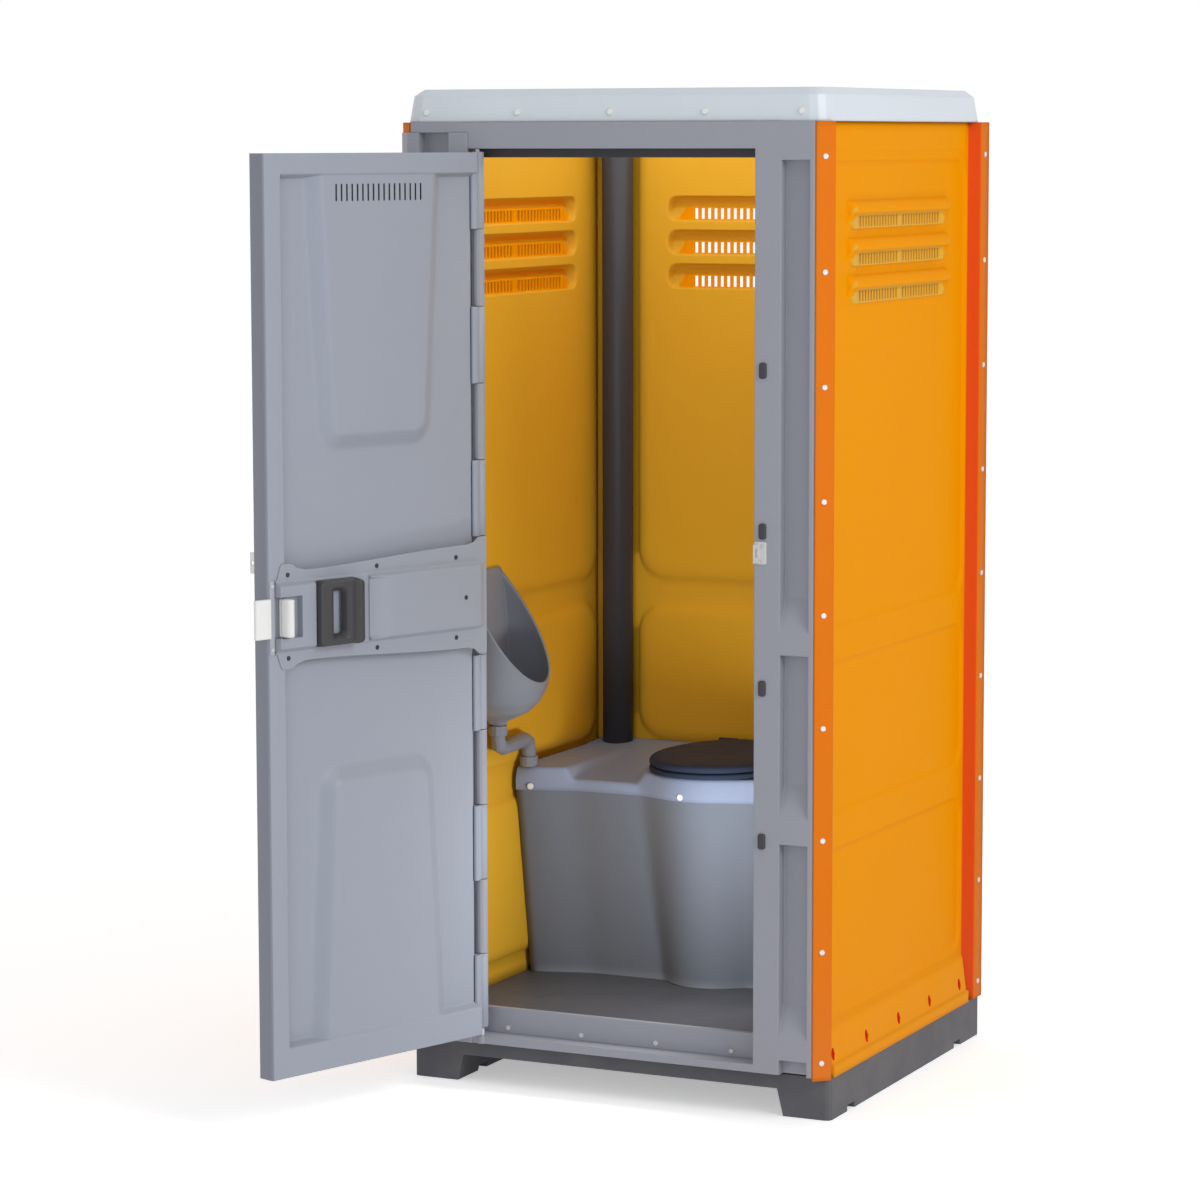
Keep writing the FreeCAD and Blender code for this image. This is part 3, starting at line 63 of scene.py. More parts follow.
def math_node(tree, operation, a, b, clamp=False):
    node = tree.nodes.new("ShaderNodeMath")
    node.operation = operation
    node.use_clamp = clamp
    feed(tree, node.inputs[0], a)
    feed(tree, node.inputs[1], b)
    return node.outputs[0]


def mix_colour(tree, factor, a, b):
    node = tree.nodes.new("ShaderNodeMix")
    node.data_type = "RGBA"
    for index, value in ((0, factor), (6, a), (7, b)):
        feed(tree, node.inputs[index], value)
    return node.outputs[2]


def remap(tree, value, low, high, to_low, to_high):
    node = tree.nodes.new("ShaderNodeMapRange")
    for index, given in enumerate((value, low, high, to_low, to_high)):
        feed(tree, node.inputs[index], given)
    return node.outputs[0]


def noise(tree, where, scale, detail, roughness):
    node = tree.nodes.new("ShaderNodeTexNoise")
    node.inputs["Scale"].default_value = scale
    node.inputs["Detail"].default_value = detail
    node.inputs["Roughness"].default_value = roughness
    link(tree, where, node.inputs["Vector"])
    return node.outputs["Fac"]


moulded = bpy.data.node_groups.new("moulded_skin", "ShaderNodeTree")
add_socket(moulded, "Colour", "NodeSocketColor", "INPUT", (0.5, 0.5, 0.5, 1.0))
add_socket(moulded, "Edge Colour", "NodeSocketColor", "INPUT", (0.6, 0.6, 0.6, 1.0))
add_socket(moulded, "Edge", "NodeSocketFloat", "INPUT", 0.5)
add_socket(moulded, "Cloud", "NodeSocketFloat", "INPUT", 0.08)
add_socket(moulded, "Roughness", "NodeSocketFloat", "INPUT", 0.45)
add_socket(moulded, "Dust", "NodeSocketFloat", "INPUT", 0.0)
add_socket(moulded, "Colour", "NodeSocketColor", "OUTPUT")
add_socket(moulded, "Roughness", "NodeSocketFloat", "OUTPUT")
add_socket(moulded, "Height", "NodeSocketFloat", "OUTPUT")
inside = moulded.nodes.new("NodeGroupInput")
outside = moulded.nodes.new("NodeGroupOutput")
place = moulded.nodes.new("ShaderNodeTexCoord").outputs["Object"]
clouds = noise(moulded, place, 3.2, 3.0, 0.55)
blotch = noise(moulded, place, 17.0, 2.0, 0.5)
tone = math_node(moulded, "ADD", math_node(moulded, "MULTIPLY", clouds, 0.7),
                 math_node(moulded, "MULTIPLY", blotch, 0.3))
swing = math_node(moulded, "MULTIPLY", math_node(moulded, "SUBTRACT", tone, 0.5), inside.outputs["Cloud"])
level = math_node(moulded, "ADD", swing, 1.0)
scaled = moulded.nodes.new("ShaderNodeVectorMath")
scaled.operation = "SCALE"
link(moulded, inside.outputs["Colour"], scaled.inputs[0])
link(moulded, level, scaled.inputs["Scale"])
rounding = moulded.nodes.new("ShaderNodeBevel")
rounding.samples = 4
rounding.inputs["Radius"].default_value = 0.006
flat = moulded.nodes.new("ShaderNodeNewGeometry")
facing = moulded.nodes.new("ShaderNodeVectorMath")
facing.operation = "DOT_PRODUCT"
link(moulded, rounding.outputs[0], facing.inputs[0])
link(moulded, flat.outputs["Normal"], facing.inputs[1])
# Edge colour on rounded edges: partly rubbed wear, partly painted highlight, and painted shade where the edge
# colour is darker, as on the liners.
edge_wear_and_light = remap(moulded, facing.outputs["Value"], 0.995, 0.85, 0.0, 1.0)
edge_wear_and_light = math_node(moulded, "MULTIPLY", edge_wear_and_light, inside.outputs["Edge"], True)
edged = mix_colour(moulded, edge_wear_and_light, scaled.outputs[0], inside.outputs["Edge Colour"])
height_up = moulded.nodes.new("ShaderNodeSeparateXYZ")
link(moulded, place, height_up.inputs[0])
low_down = remap(moulded, height_up.outputs["Z"], 0.0, 0.5, 1.0, 0.0)
dirt = math_node(moulded, "MULTIPLY", low_down, noise(moulded, place, 9.0, 4.0, 0.6))
dirt = math_node(moulded, "MULTIPLY", dirt, inside.outputs["Dust"], True)
dust_colour = (0.42, 0.39, 0.35, 1.0)
dusty = mix_colour(moulded, dirt, edged, dust_colour)
link(moulded, dusty, outside.inputs["Colour"])
gloss = math_node(moulded, "ADD", inside.outputs["Roughness"],
                  math_node(moulded, "MULTIPLY", math_node(moulded, "SUBTRACT", blotch, 0.5), 0.12))
link(moulded, math_node(moulded, "ADD", gloss, math_node(moulded, "MULTIPLY", dirt, 0.3), True),
     outside.inputs["Roughness"])
peel = noise(moulded, place, 620.0, 2.0, 0.5)
link(moulded, math_node(moulded, "ADD", math_node(moulded, "MULTIPLY", peel, 0.25),
                        math_node(moulded, "MULTIPLY", blotch, 1.2)), outside.inputs["Height"])


def srgb(r, g, b):
    """Linear colour of a screen colour given from 0 to 255."""
    return tuple(((c / 255 + 0.055) / 1.055) ** 2.4 if c > 10 else c / 255 / 12.92 for c in (r, g, b))


def moulded_material(name, colour, edge_colour, edge=0.5, cloud=0.08, roughness=0.45, dust=0.0,
                     grain=0.00025, soften=0.004, shine=0.3):
    """Plastic skin. The colours are screen colours, soften is the radius of its edges in metres."""
    material = bpy.data.materials.new(name)
    material.use_nodes = True
    tree = material.node_tree
    shader = tree.nodes["Principled BSDF"]
    shader.inputs["Specular IOR Level"].default_value = shine
    skin = tree.nodes.new("ShaderNodeGroup")
    skin.node_tree = moulded
    skin.inputs["Colour"].default_value = (*srgb(*colour), 1.0)
    skin.inputs["Edge Colour"].default_value = (*srgb(*edge_colour), 1.0)
    skin.inputs["Edge"].default_value = edge
    skin.inputs["Cloud"].default_value = cloud
    skin.inputs["Roughness"].default_value = roughness
    skin.inputs["Dust"].default_value = dust
    link(tree, skin.outputs["Colour"], shader.inputs["Base Color"])
    link(tree, skin.outputs["Roughness"], shader.inputs["Roughness"])
    round_edge = tree.nodes.new("ShaderNodeBevel")
    round_edge.samples = 4
    round_edge.inputs["Radius"].default_value = soften
    bump = tree.nodes.new("ShaderNodeBump")
    bump.inputs["Strength"].default_value = 0.5
    bump.inputs["Distance"].default_value = grain
    link(tree, skin.outputs["Height"], bump.inputs["Height"])
    link(tree, round_edge.outputs[0], bump.inputs["Normal"])
    link(tree, bump.outputs[0], shader.inputs["Normal"])
    return material


def dress(material, *names):
    for name in names:
        mesh = nodes[name].data
        mesh.materials.clear()
        mesh.materials.append(material)


base_black = moulded_material("base_black", (74, 77, 86), (125, 125, 127),
                              edge=0.4, cloud=0.12, roughness=0.6, dust=0.3)
dress(base_black, "base_pallet")


# Floor tread
# A loose anti-slip sheet of dark plastic on the base, embossed with rows of small round studs that
# are worn shiny where people stand.
tread_black = moulded_material("tread_black", (76, 80, 90), (120, 122, 128),
                               edge=0.4, cloud=0.14, roughness=0.5, dust=0.2)
tree = tread_black.node_tree
studs = tree.nodes.new("ShaderNodeTexVoronoi")
studs.inputs["Scale"].default_value = 62.0
studs.inputs["Randomness"].default_value = 0.0
link(tree, tree.nodes.new("ShaderNodeTexCoord").outputs["Object"], studs.inputs["Vector"])
stud_height = remap(tree, studs.outputs["Distance"], 0.22, 0.36, 1.0, 0.0)
stud_bump = tree.nodes.new("ShaderNodeBump")
stud_bump.inputs["Strength"].default_value = 0.8
stud_bump.inputs["Distance"].default_value = 0.0015
link(tree, stud_height, stud_bump.inputs["Height"])
link(tree, stud_bump.outputs[0], tree.nodes["Principled BSDF"].inputs["Normal"])
dress(tread_black, "floor_plate")


# Outer walls
# Three vacuum-formed orange sheets, a few millimetres thick, with recessed fields between flush ribs,
# hooded louvres with fine slots, corner flanges, and a flared skirt over the base with a row of dents.
# The flanges, the step by the rear flange and the dents are painted darker and redder as shade.
def metres(x, y, z):
    return (x / 1000, y / 1000, z / 1000)


def smooth_step(t):
    t = min(max(t, 0.0), 1.0)
    return t * t * (3 - 2 * t)


def quarter_round(t):
    t = min(max(t, 0.0), 1.0)
    return math.sqrt(1 - (1 - t) ** 2)


def depth_inside(u, z, left, right, foot, head, corner):
    """Distance of a point inward from the edge of a rounded rectangle, negative outside."""
    a = abs(u - (left + right) / 2) - (right - left) / 2 + corner
    b = abs(z - (foot + head) / 2) - (head - foot) / 2 + corner
    return corner - math.hypot(max(a, 0), max(b, 0)) - min(max(a, b), 0)


def grid_lines(exact, spans):
    """Sorted grid lines: the exact ones, and even ones over each span where no line is near."""
    kept = sorted(set(exact))
    for start, stop, step in spans:
        count = max(1, round((stop - start) / step))
        for i in range(count + 1):
            value = start + (stop - start) * i / count
            if all(abs(value - line) > step * 0.45 for line in kept):
                kept.append(value)
    return sorted(kept)


def finish_form(name, form, *materials):
    """Object made of a finished form."""
    mesh = bpy.data.meshes.new(name)
    form.to_mesh(mesh)
    form.free()
    for material in materials:
        mesh.materials.append(material)
    piece = bpy.data.objects.new(name, mesh)
    bpy.context.scene.collection.objects.link(piece)
    return piece


def pressing(name, columns, levels, height, materials, gone=None, mirror=1, closed=False):
    """Pressed sheet in mm. A column is (x, y, normal x, normal y, u), and u is None on a flange."""
    form = bmesh.new()
    rows = []
    for z in levels:
        row = []
        for x, y, nx, ny, u in columns:
            h = 0.0 if u is None else height(u, z)
            row.append(form.verts.new(metres(mirror * (x + nx * h), y + ny * h, z)))
        rows.append(row)
    count = len(columns)
    for j in range(len(levels) - 1):
        for i in range(count if closed else count - 1):
            k = (i + 1) % count
            ua, ub = columns[i][4], columns[k][4]
            plain = ua is None or ub is None
            if gone and not plain and gone((ua + ub) / 2, (levels[j] + levels[j + 1]) / 2):
                continue
            face = form.faces.new((rows[j][i], rows[j][k], rows[j + 1][k], rows[j + 1][i]))
            face.smooth = True
            # Faces on a flange take the second material, which is a darker copy of the first: painted shade.
            face.material_index = 1 if plain and len(materials) > 1 else 0
    form.normal_update()
    middle = next(c for c in columns if c[4] is not None)
    trend = sum(f.normal.x * mirror * middle[2] + f.normal.y * middle[3]
                for f in form.faces if f.material_index == 0)
    if closed:
        for row in (rows[0], rows[-1]):
            form.faces.new(row)
        bmesh.ops.recalc_face_normals(form, faces=form.faces)
    elif trend < 0:
        bmesh.ops.reverse_faces(form, faces=form.faces)
    return finish_form(name, form, *materials)


wall_head = 2219
wall_fields = ((222, 602), (679, 1025), (1098, 2134))
field_depth, field_corner, field_slope = 7, 60, 9
louvre_tops = (2045, 1962, 1879)
hood_height, hood_proud = 30, 19
slot_drop, slot_foot = 34, 60
skirt_top, skirt_blend = 214, 200
hole_z, hole_half_width, hole_half_height, hole_depth = 147, 9, 14, 7
skirt_line = ((97, 32), (124.4, 32), (125, 25), (130, 25), (207, 15), (214, 0))


def skirt_reach(z):
    for (z0, h0), (z1, h1) in zip(skirt_line, skirt_line[1:]):
        if z <= z1:
            return h0 + (h1 - h0) * (z - z0) / (z1 - z0)
    return 0.0


def wall_relief(left, right, foot_left, foot_right, hood_left, hood_right, holes):
    def height(u, z):
        h = 0.0
        for foot, head in wall_fields:
            inset = depth_inside(u, z, left, right, foot, head, field_corner)
            h -= field_depth * smooth_step(inset / field_slope)
        h += 4 * smooth_step(depth_inside(u, z, left + 6, right - 12, 2146, 2300, 14) / 11)
        for top in louvre_tops:
            lip = top - hood_height
            end = min(u - hood_left, hood_right - u)
            if end < 0 or z > top or z < lip - hood_height:
                continue
            side = quarter_round(end / 28)
            if z >= lip:
                h += hood_proud * side * quarter_round((top - z) / hood_height)
            else:
                under = (1 - (lip - z) / hood_height) ** 1.2
                h += 16 * side * under * (1 - smooth_step((end - 22) / 24))
        if z < skirt_top:
            ends = min(1.0, (u - foot_left) / 5, (foot_right - u) / 30)
            h = max(h, 0.0) if z > skirt_blend else h
            h += skirt_reach(z) * max(ends, 0.0)
            near = min(math.hypot((u - place) / hole_half_width, (z - hole_z) / hole_half_height)
                       for place in holes)
            h -= hole_depth * smooth_step(2.4 * (1 - near))
        return h
    return height


def slot_edges(hood_left, hood_right, middle):
    """Left and right edges of the slots, in two groups either side of the middle."""
    pitch, half_slot = 17.2, 4.3
    edges = []
    for start, stop in ((hood_left + 56, middle - 12), (middle + 12, hood_right - 56)):
        count = int((stop - start) // pitch)
        first = (start + stop - pitch * (count - 1)) / 2
        edges += [(first + pitch * i - half_slot, first + pitch * i + half_slot) for i in range(count)]
    return edges


def in_slot(u, z, edges):
    in_row = any(top - slot_foot < z < top - slot_drop for top in louvre_tops)
    return in_row and any(a < u < b for a, b in edges)


wall_levels = grid_lines(
    [97, 124.4, 125, 130, 207, skirt_top, wall_head] +
    [133, 134.5, 136.5, 139, 143, 147, 151, 155, 157.5, 159.5, 161] +
    [top - d for top in louvre_tops for d in (0, 1, 3, 6, 10, 15, 20, 25, 30, 30.7, 34, 42, 51, 60)],
    [(216, 288, 6), (540, 608, 6), (673, 745, 6), (960, 1031, 6), (1092, 1164, 6), (2070, 2160, 5),
     (97, skirt_top, 12), (skirt_top, wall_head, 26)])


def wall_lines(left, right, foot_left, foot_right, hood_left, hood_right, edges, holes):
    hood_steps = (1.2, 3.5, 7, 12, 18, 24, 30, 37, 44, 50)
    exact = [foot_left, foot_left + 5, foot_right - 30, foot_right, hood_left, hood_right]
    exact += [value for pair in edges for value in pair]
    exact += [hole + d for hole in holes for d in (-9, -7.8, -6, -3, 0, 3, 6, 7.8, 9)]
    exact += [hood_left + d for d in hood_steps] + [hood_right - d for d in hood_steps]
    spans = [(left - 4, left + 66, 5), (right - 66, right + 4, 5), (foot_left, foot_right, 26)]
    return grid_lines(exact, spans)


# Its edge colour is yellower and paler than the face: painted highlight on rounded edges, ribs and hoods.
wall_orange = moulded_material("wall_orange", (240, 153, 0), (250, 190, 40),
                               edge=0.3, cloud=0.05, roughness=0.5, dust=0.08, soften=0.002, shine=0.02)
# A darker, redder copy of the wall orange for the flanges: painted shade, with a paler painted highlight on
# its edges.
flange_painted_shade = moulded_material("flange_painted_shade", (224, 118, 27), (245, 150, 40),
                                 edge=0.4, cloud=0.05, roughness=0.5, dust=0.08, shine=0.02)
# A still darker and redder copy for the step beside the rear flange: painted shade.
channel_painted_shade = moulded_material("channel_painted_shade", (226, 82, 28), (240, 110, 40),
                                  edge=0.3, cloud=0.08, roughness=0.5, dust=0.08, shine=0.02)
# Deep red for the skirt's dents: painted shade in the recesses.
hole_painted_shade = moulded_material("hole_painted_shade", (206, 36, 16), (236, 90, 30),
                            edge=0.3, cloud=0.05, roughness=0.6, shine=0.02)
side_hoods, back_hoods = (-304, 316), (-289, 289)
side_span = (-441, 444, -449, 446, *side_hoods)
back_span = (-447, 447, -456, 456, *back_hoods)
side_slots = slot_edges(*side_hoods, 6)
side_holes = [-436 + 203 * i for i in range(5)]
front_flange = ((500, -507), (503, -504), (527, -480), (530, -476), (530, -469), (526, -466), (502, -452))
rear_flange = ((499, 448), (527, 448), (530, 450), (530, 507))
side_columns = [(x, y, 0, 0, None) for x, y in front_flange]
side_columns += [(498, y, 1, 0, y) for y in wall_lines(*side_span, side_slots, side_holes)]
side_columns += [(x, y, 0, 0, None) for x, y in rear_flange]
side_height = wall_relief(*side_span, side_holes)


def at_side_hole(centre):
    up = (centre.z - hole_z / 1000) / hole_shade_half_height
    return any(math.hypot((centre.y - y / 1000) / hole_shade_half_width, up) < 1 for y in side_holes)


def in_channel(centre):
    """On the step of the sheet beside its rear flange."""
    return abs(centre.y - 0.449) < 0.002 and 0.499 < abs(centre.x) < 0.5295


hole_shade_half_width, hole_shade_half_height, sheet_thickness = 0.0088, 0.0138, 0.004
for name, mirror in (("right_wall_outer", 1), ("left_wall_outer", -1)):
    skin_piece = pressing(name + "_sheet", side_columns, wall_levels, side_height,
                          [wall_orange, flange_painted_shade, channel_painted_shade, hole_painted_shade],
                          lambda u, z: in_slot(u, z, side_slots), mirror)
    # Faces in the skirt's dents take a deep red painted shade, and faces on the step beside the rear flange a
    # darker painted shade.
    for face in skin_piece.data.polygons:
        if at_side_hole(face.center):
            face.material_index = 3
        elif in_channel(face.center):
            face.material_index = 2
    sheet = skin_piece.modifiers.new("sheet", "SOLIDIFY")
    sheet.thickness = sheet_thickness
    sheet.offset = -1.0
    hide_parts(name)
    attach(skin_piece, "cabin")

back_slots = slot_edges(*back_hoods, 0)
back_holes = [-420 + 210 * i for i in range(5)]
back_flange = ((457, 475), (476, 507), (527, 507))
back_columns = [(-x, y, 0, 0, None) for x, y in reversed(back_flange)]
back_columns += [(x, 474, 0, 1, x) for x in wall_lines(*back_span, back_slots, back_holes)]
back_columns += [(x, y, 0, 0, None) for x, y in back_flange]
skin_piece = pressing("back_wall_outer_sheet", back_columns, wall_levels, wall_relief(*back_span, back_holes),
                      [wall_orange, flange_painted_shade], lambda u, z: in_slot(u, z, back_slots))
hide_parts("back_wall_outer")
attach(skin_piece, "cabin")


# Wall liners
# The inner skins are thinner orange sheets, riveted to the outer ones, with broad raised pillows that
# stiffen them and a rounded recess behind each louvre with the same row of slots.
# Its edge colour is redder and darker than the face: painted shade along the rounded pillow and pit edges.
liner_orange = moulded_material("liner_orange", (224, 172, 46), (230, 120, 30),
                                edge=0.25, cloud=0.06, roughness=0.45, soften=0.002, shine=0.12)
liner_foot, liner_thickness = 156, 0.0035
pillow_spans = ((210, 598), (684, 1027), (1089, 2205))
pillow_rise, pillow_corner, pillow_slope = 13, 74, 34
side_pillow, back_pillow = (-427, 442.5), (-370.5, 370.5)
pit_depth, pit_swell = 8, 12


def liner_relief(left, right, hood_left, hood_right):
    def height(u, z):
        h = 0.0
        for foot, head in pillow_spans:
            inset = depth_inside(u, z, left, right, foot, head, pillow_corner)
            h += pillow_rise * quarter_round(inset / pillow_slope)
        for top in louvre_tops:
            inset = depth_inside(u, z, hood_left + 2, hood_right - 2, top - 66, top - 3, 30)
            if inset > 0:
                under = min(max((z - top + 34) / 26, 0.0), 1.0)
                h -= smooth_step(inset / 5) * (h + pit_depth + pit_swell * math.sin(math.pi * under))
        return h
    return height


liner_levels = grid_lines(
    [liner_foot, wall_head] +
    [top - d for top in louvre_tops
     for d in (2, 3, 4, 5.5, 8, 12, 17, 22, 28, 34, 42, 51, 60, 61, 63, 66, 67)],
    [(208, 286, 6), (526, 600, 6), (682, 760, 6), (951, 1029, 6), (1087, 1165, 6), (2130, 2207, 6),
     (liner_foot, wall_head, 26)])


def liner_lines(low, high, left, right, hood_left, hood_right, edges):
    pillow_steps = (0, 1, 3, 6, 10, 14)
    pit_steps = (2, 3, 4.5, 6, 8, 11, 15, 20, 26, 33)
    exact = [low, high] + [value for pair in edges for value in pair]
    exact += [left + d for d in pillow_steps] + [right - d for d in pillow_steps]
    exact += [hood_left + d for d in pit_steps] + [hood_right - d for d in pit_steps]
    return grid_lines(exact, [(left, left + 76, 6), (right - 76, right, 6), (low, high, 26)])


side_lines = liner_lines(-449, 464, *side_pillow, *side_hoods, side_slots)
liner_columns = [(485.5, y, -1, 0, y) for y in side_lines]
for name, mirror in (("right_wall_liner", 1), ("left_wall_liner", -1)):
    skin_piece = pressing(name + "_sheet", liner_columns, liner_levels,
                          liner_relief(*side_pillow, *side_hoods), [liner_orange],
                          lambda u, z: in_slot(u, z, side_slots), mirror)
    sheet = skin_piece.modifiers.new("sheet", "SOLIDIFY")
    sheet.thickness = liner_thickness
    sheet.offset = -1.0
    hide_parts(name)
    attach(skin_piece, "cabin")

back_lines = liner_lines(-485, 485, *back_pillow, *back_hoods, back_slots)
liner_columns = [(x, 461.5, 0, -1, x) for x in back_lines]
skin_piece = pressing("back_wall_liner_sheet", liner_columns, liner_levels,
                      liner_relief(*back_pillow, *back_hoods), [liner_orange],
                      lambda u, z: in_slot(u, z, back_slots))
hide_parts("back_wall_liner")
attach(skin_piece, "cabin")


# Front frame
# Header, jambs, hinge post and sill are grey mouldings in the same plastic as the door, riveted into
# the corner flanges of the walls; a dark stop strip closes the head of the doorway.
frame_grey = moulded_material("frame_grey", (152, 154, 165), (180, 182, 190),
                              edge=0.4, cloud=0.05, roughness=0.42, dust=0.08)
dress(frame_grey, "door_frame", "hinge_post", "sill_plate")
stop_black = moulded_material("stop_black", (64, 64, 68), (90, 90, 92),
                              edge=0.3, cloud=0.1, roughness=0.6)
dress(stop_black, "header_stop", "jamb_buffers")


# Door leaf
# Two grey skins welded round their edge. The inner one is sunk behind a border, with two soft tapering
# panels pressed back out of it, a rail for the latch and a comb of vent slots; barrels carry the hinge.
leaf_turn = math.radians(109.13)
hinge = (-327.5, -499.4)
along = (math.cos(leaf_turn), -math.sin(leaf_turn))
facing_in = (math.sin(leaf_turn), math.cos(leaf_turn))
inner_set = 38.1
leaf_foot, leaf_head = 135, 2152
field_foot, field_head = 198, 2108
sunk_depth, sunk_slope = 27, 11
panel_middle, panel_height = 333, 23


def on_leaf(s, o):
    """Place s along the leaf from the hinge and o inward from its inner face."""
    reach = inner_set + o
    return (hinge[0] + s * along[0] + reach * facing_in[0], hinge[1] + s * along[1] + reach * facing_in[1])


def panel_rise(s, z, tip, root, half_tip, half_root):
    share = min(max((z - tip) / (root - tip), 0.0), 1.0)
    half = half_tip + (half_root - half_tip) * share
    foot, head = (tip, root + 200) if root > tip else (root - 200, tip)
    inset = depth_inside(s, z, panel_middle - half, panel_middle + half, foot, head, 58)
    slope = min(max(inset / 37, 0.0), 1.0)
    return panel_height * (0.72 * slope + 0.28 * smooth_step(slope))


def leaf_relief(u, z):
    """Inner face for u above zero, outer face for u below zero."""
    if u > 0:
        sunk = min((622 - u) / sunk_slope, (z - field_foot) / sunk_slope, (field_head - z) / sunk_slope)
        rail = sunk_depth * smooth_step(depth_inside(u, z, 44, 700, 1066, 1243, 18) / 9)
        return max(-sunk_depth * smooth_step(sunk), rail - sunk_depth,
                   panel_rise(u, z, 1504, field_head, 166, 203) - sunk_depth,
                   panel_rise(u, z, 808, field_foot, 168, 203) - sunk_depth)
    h = 0.0
    for foot, head in ((167, 1050), (1259, 2120)):
        h -= 5 * smooth_step(depth_inside(-u, z, 48, 639, foot, head, 50) / 12)
    return h - 14 * smooth_step(depth_inside(-u, z, 590, 626, 1079, 1229, 17) / 4)


vent_start, vent_span, vent_half = 208, 250, 2.2
vent_places = [vent_start + vent_span * i / 16 for i in range(17)]
vent_edges = [(place - vent_half, place + vent_half) for place in vent_places]
vent_lines = [value for pair in vent_edges for value in pair]
vent_foot, vent_head = 2048, 2085
leaf_s = grid_lines([37, 667] + vent_lines,
                    [(608, 626, 1.6), (40, 56, 3), (130, 200, 5), (470, 540, 5), (37, 667, 24)])
outer_s = grid_lines([16, 590, 594, 622, 626, 667] + vent_lines, [(46, 66, 4), (620, 642, 4), (16, 667, 24)])
leaf_levels = grid_lines(
    [leaf_foot, 136.2, 139, 2148, 2150.8, leaf_head, vent_foot, vent_head],
    [(196, 212, 1.8), (2095, 2110, 1.8), (735, 812, 5), (1500, 1580, 5), (1064, 1083, 2), (1226, 1245, 2),
     (165, 182, 4), (1255, 1275, 4), (2104, 2120, 4), (1030, 1056, 5), (leaf_foot, leaf_head, 26)])
edge_s, edge_round, leaf_thick = 671, 4, 45
leaf_columns = [(*on_leaf(s, 0), *facing_in, s) for s in leaf_s]
free_edge = [(edge_s - edge_round + edge_round * math.sin(a), edge_round * math.cos(a) - edge_round)
             for a in (math.radians(20), math.radians(45), math.radians(70))]
free_edge += [(edge_s, -edge_round), (edge_s, edge_round - leaf_thick), (669.8, -43.8)]
leaf_columns += [(*on_leaf(s, o), 0, 0, None) for s, o in free_edge]
leaf_columns += [(*on_leaf(s, -leaf_thick), -facing_in[0], -facing_in[1], -s) for s in reversed(outer_s)]


def vent_gone(u, z):
    return vent_foot < z < vent_head and any(a < abs(u) < b for a, b in vent_edges)


def flat_sheet(u, z):
    return 0.0


door_grey = moulded_material("door_grey", (154, 161, 174), (178, 183, 194),
                             edge=0.25, cloud=0.05, roughness=0.42, dust=0.06, soften=0.002)
# A darker copy of the door grey for the leaf's free edge: painted shade.
door_edge_painted_shade = moulded_material("door_edge_painted_shade", (132, 136, 148), (160, 163, 172),
                            edge=0.25, cloud=0.05, roughness=0.45, dust=0.06, soften=0.002)
leaf = pressing("door_leaf_skins", leaf_columns, leaf_levels, leaf_relief, [door_grey, door_edge_painted_shade], vent_gone,
                closed=True)
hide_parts("door_leaf")
# A dark grey sheet inside the hollow leaf behind the vent slots: painted shade seen through them.
vent_shade_material = moulded_material("vent_shade_sheet", (96, 99, 108), (110, 112, 118),
                          edge=0.3, cloud=0.2, roughness=0.8)
vent_shade_piece = pressing("vent_shade_sheet", [(*on_leaf(v, -12), *facing_in, v) for v in (200, 466)],
                        [vent_foot - 8, vent_head + 8], flat_sheet, [vent_shade_material])
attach(vent_shade_piece, "door")
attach(leaf, "door")


def skin_rows(form, rows, closed=False, gone=None):
    """Smooth faces between neighbouring rows of points, apart from those that are gone."""
    for low, high in zip(rows, rows[1:]):
        count = len(low)
        for i in range(count if closed else count - 1):
            k = (i + 1) % count
            if not (gone and gone(low[i].co, high[k].co)):
                form.faces.new((low[i], low[k], high[k], high[i])).smooth = True


def ring_turns(sides):
    return [2 * math.pi * i / sides for i in range(sides)]


def lathe(name, centre, profile, material, sides=40):
    """Turned piece from (radius, height) pairs in mm about an upright axis."""
    form = bmesh.new()
    rows = [[form.verts.new(metres(centre[0] + radius * math.cos(a), centre[1] + radius * math.sin(a), z))
             for a in ring_turns(sides)] for radius, z in profile]
    skin_rows(form, rows, True)
    form.faces.new(rows[0])
    form.faces.new(rows[-1])
    bmesh.ops.recalc_face_normals(form, faces=form.faces)
    return finish_form(name, form, material)


knuckle_pitch, knuckle_gap, knuckle_radius, knuckle_chamfer = 173.9, 0.6, 14.2, 1.6
knuckle_edges = [2153.6 - knuckle_pitch * i for i in range(6)]
knuckle_edges += [142.6 + knuckle_pitch * i for i in range(5, -1, -1)]
web_outline = ((0, -6.9), (20, -6.9), (36, 14), (30, 20), (0, 6))
web_columns = [(*on_leaf(s, reach - inner_set), 0, 0, s) for s, reach in web_outline]
for i in range(0, len(knuckle_edges) - 1, 2):
    top, foot = knuckle_edges[i] - knuckle_gap, knuckle_edges[i + 1] + knuckle_gap
    barrel = lathe("leaf_knuckle_%d" % i, hinge, (
        (12.6, foot), (knuckle_radius, foot + knuckle_chamfer), (knuckle_radius, top - knuckle_chamfer),
        (12.6, top)), door_grey)
    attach(barrel, "door")
    web_top = min(top, leaf_head)
    web = pressing("leaf_web_%d" % i, web_columns, [foot, foot + 1, web_top - 1, web_top], flat_sheet,
                   [door_grey], closed=True)
    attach(web, "door")


# Latch housing
# A grey pressing screwed across the rail, with eared ends, a raised band that the bolt slides in, an
# opening for the black grip with a finger scoop beside it and a window for the bolt's finger.
latch_z = 1154
cover_flange, cover_lap, band_rise, scoop_depth = 3, 0.2, 15, 9
grip_opening, finger_window = (382.5, 546, 75), (586, 646, 45)
cover_outline = ((19, 132), (41, 132), (60, 121), (82, 117), (563, 99), (585, 104), (606, 115), (631, 115),
                 (650, 74.5))


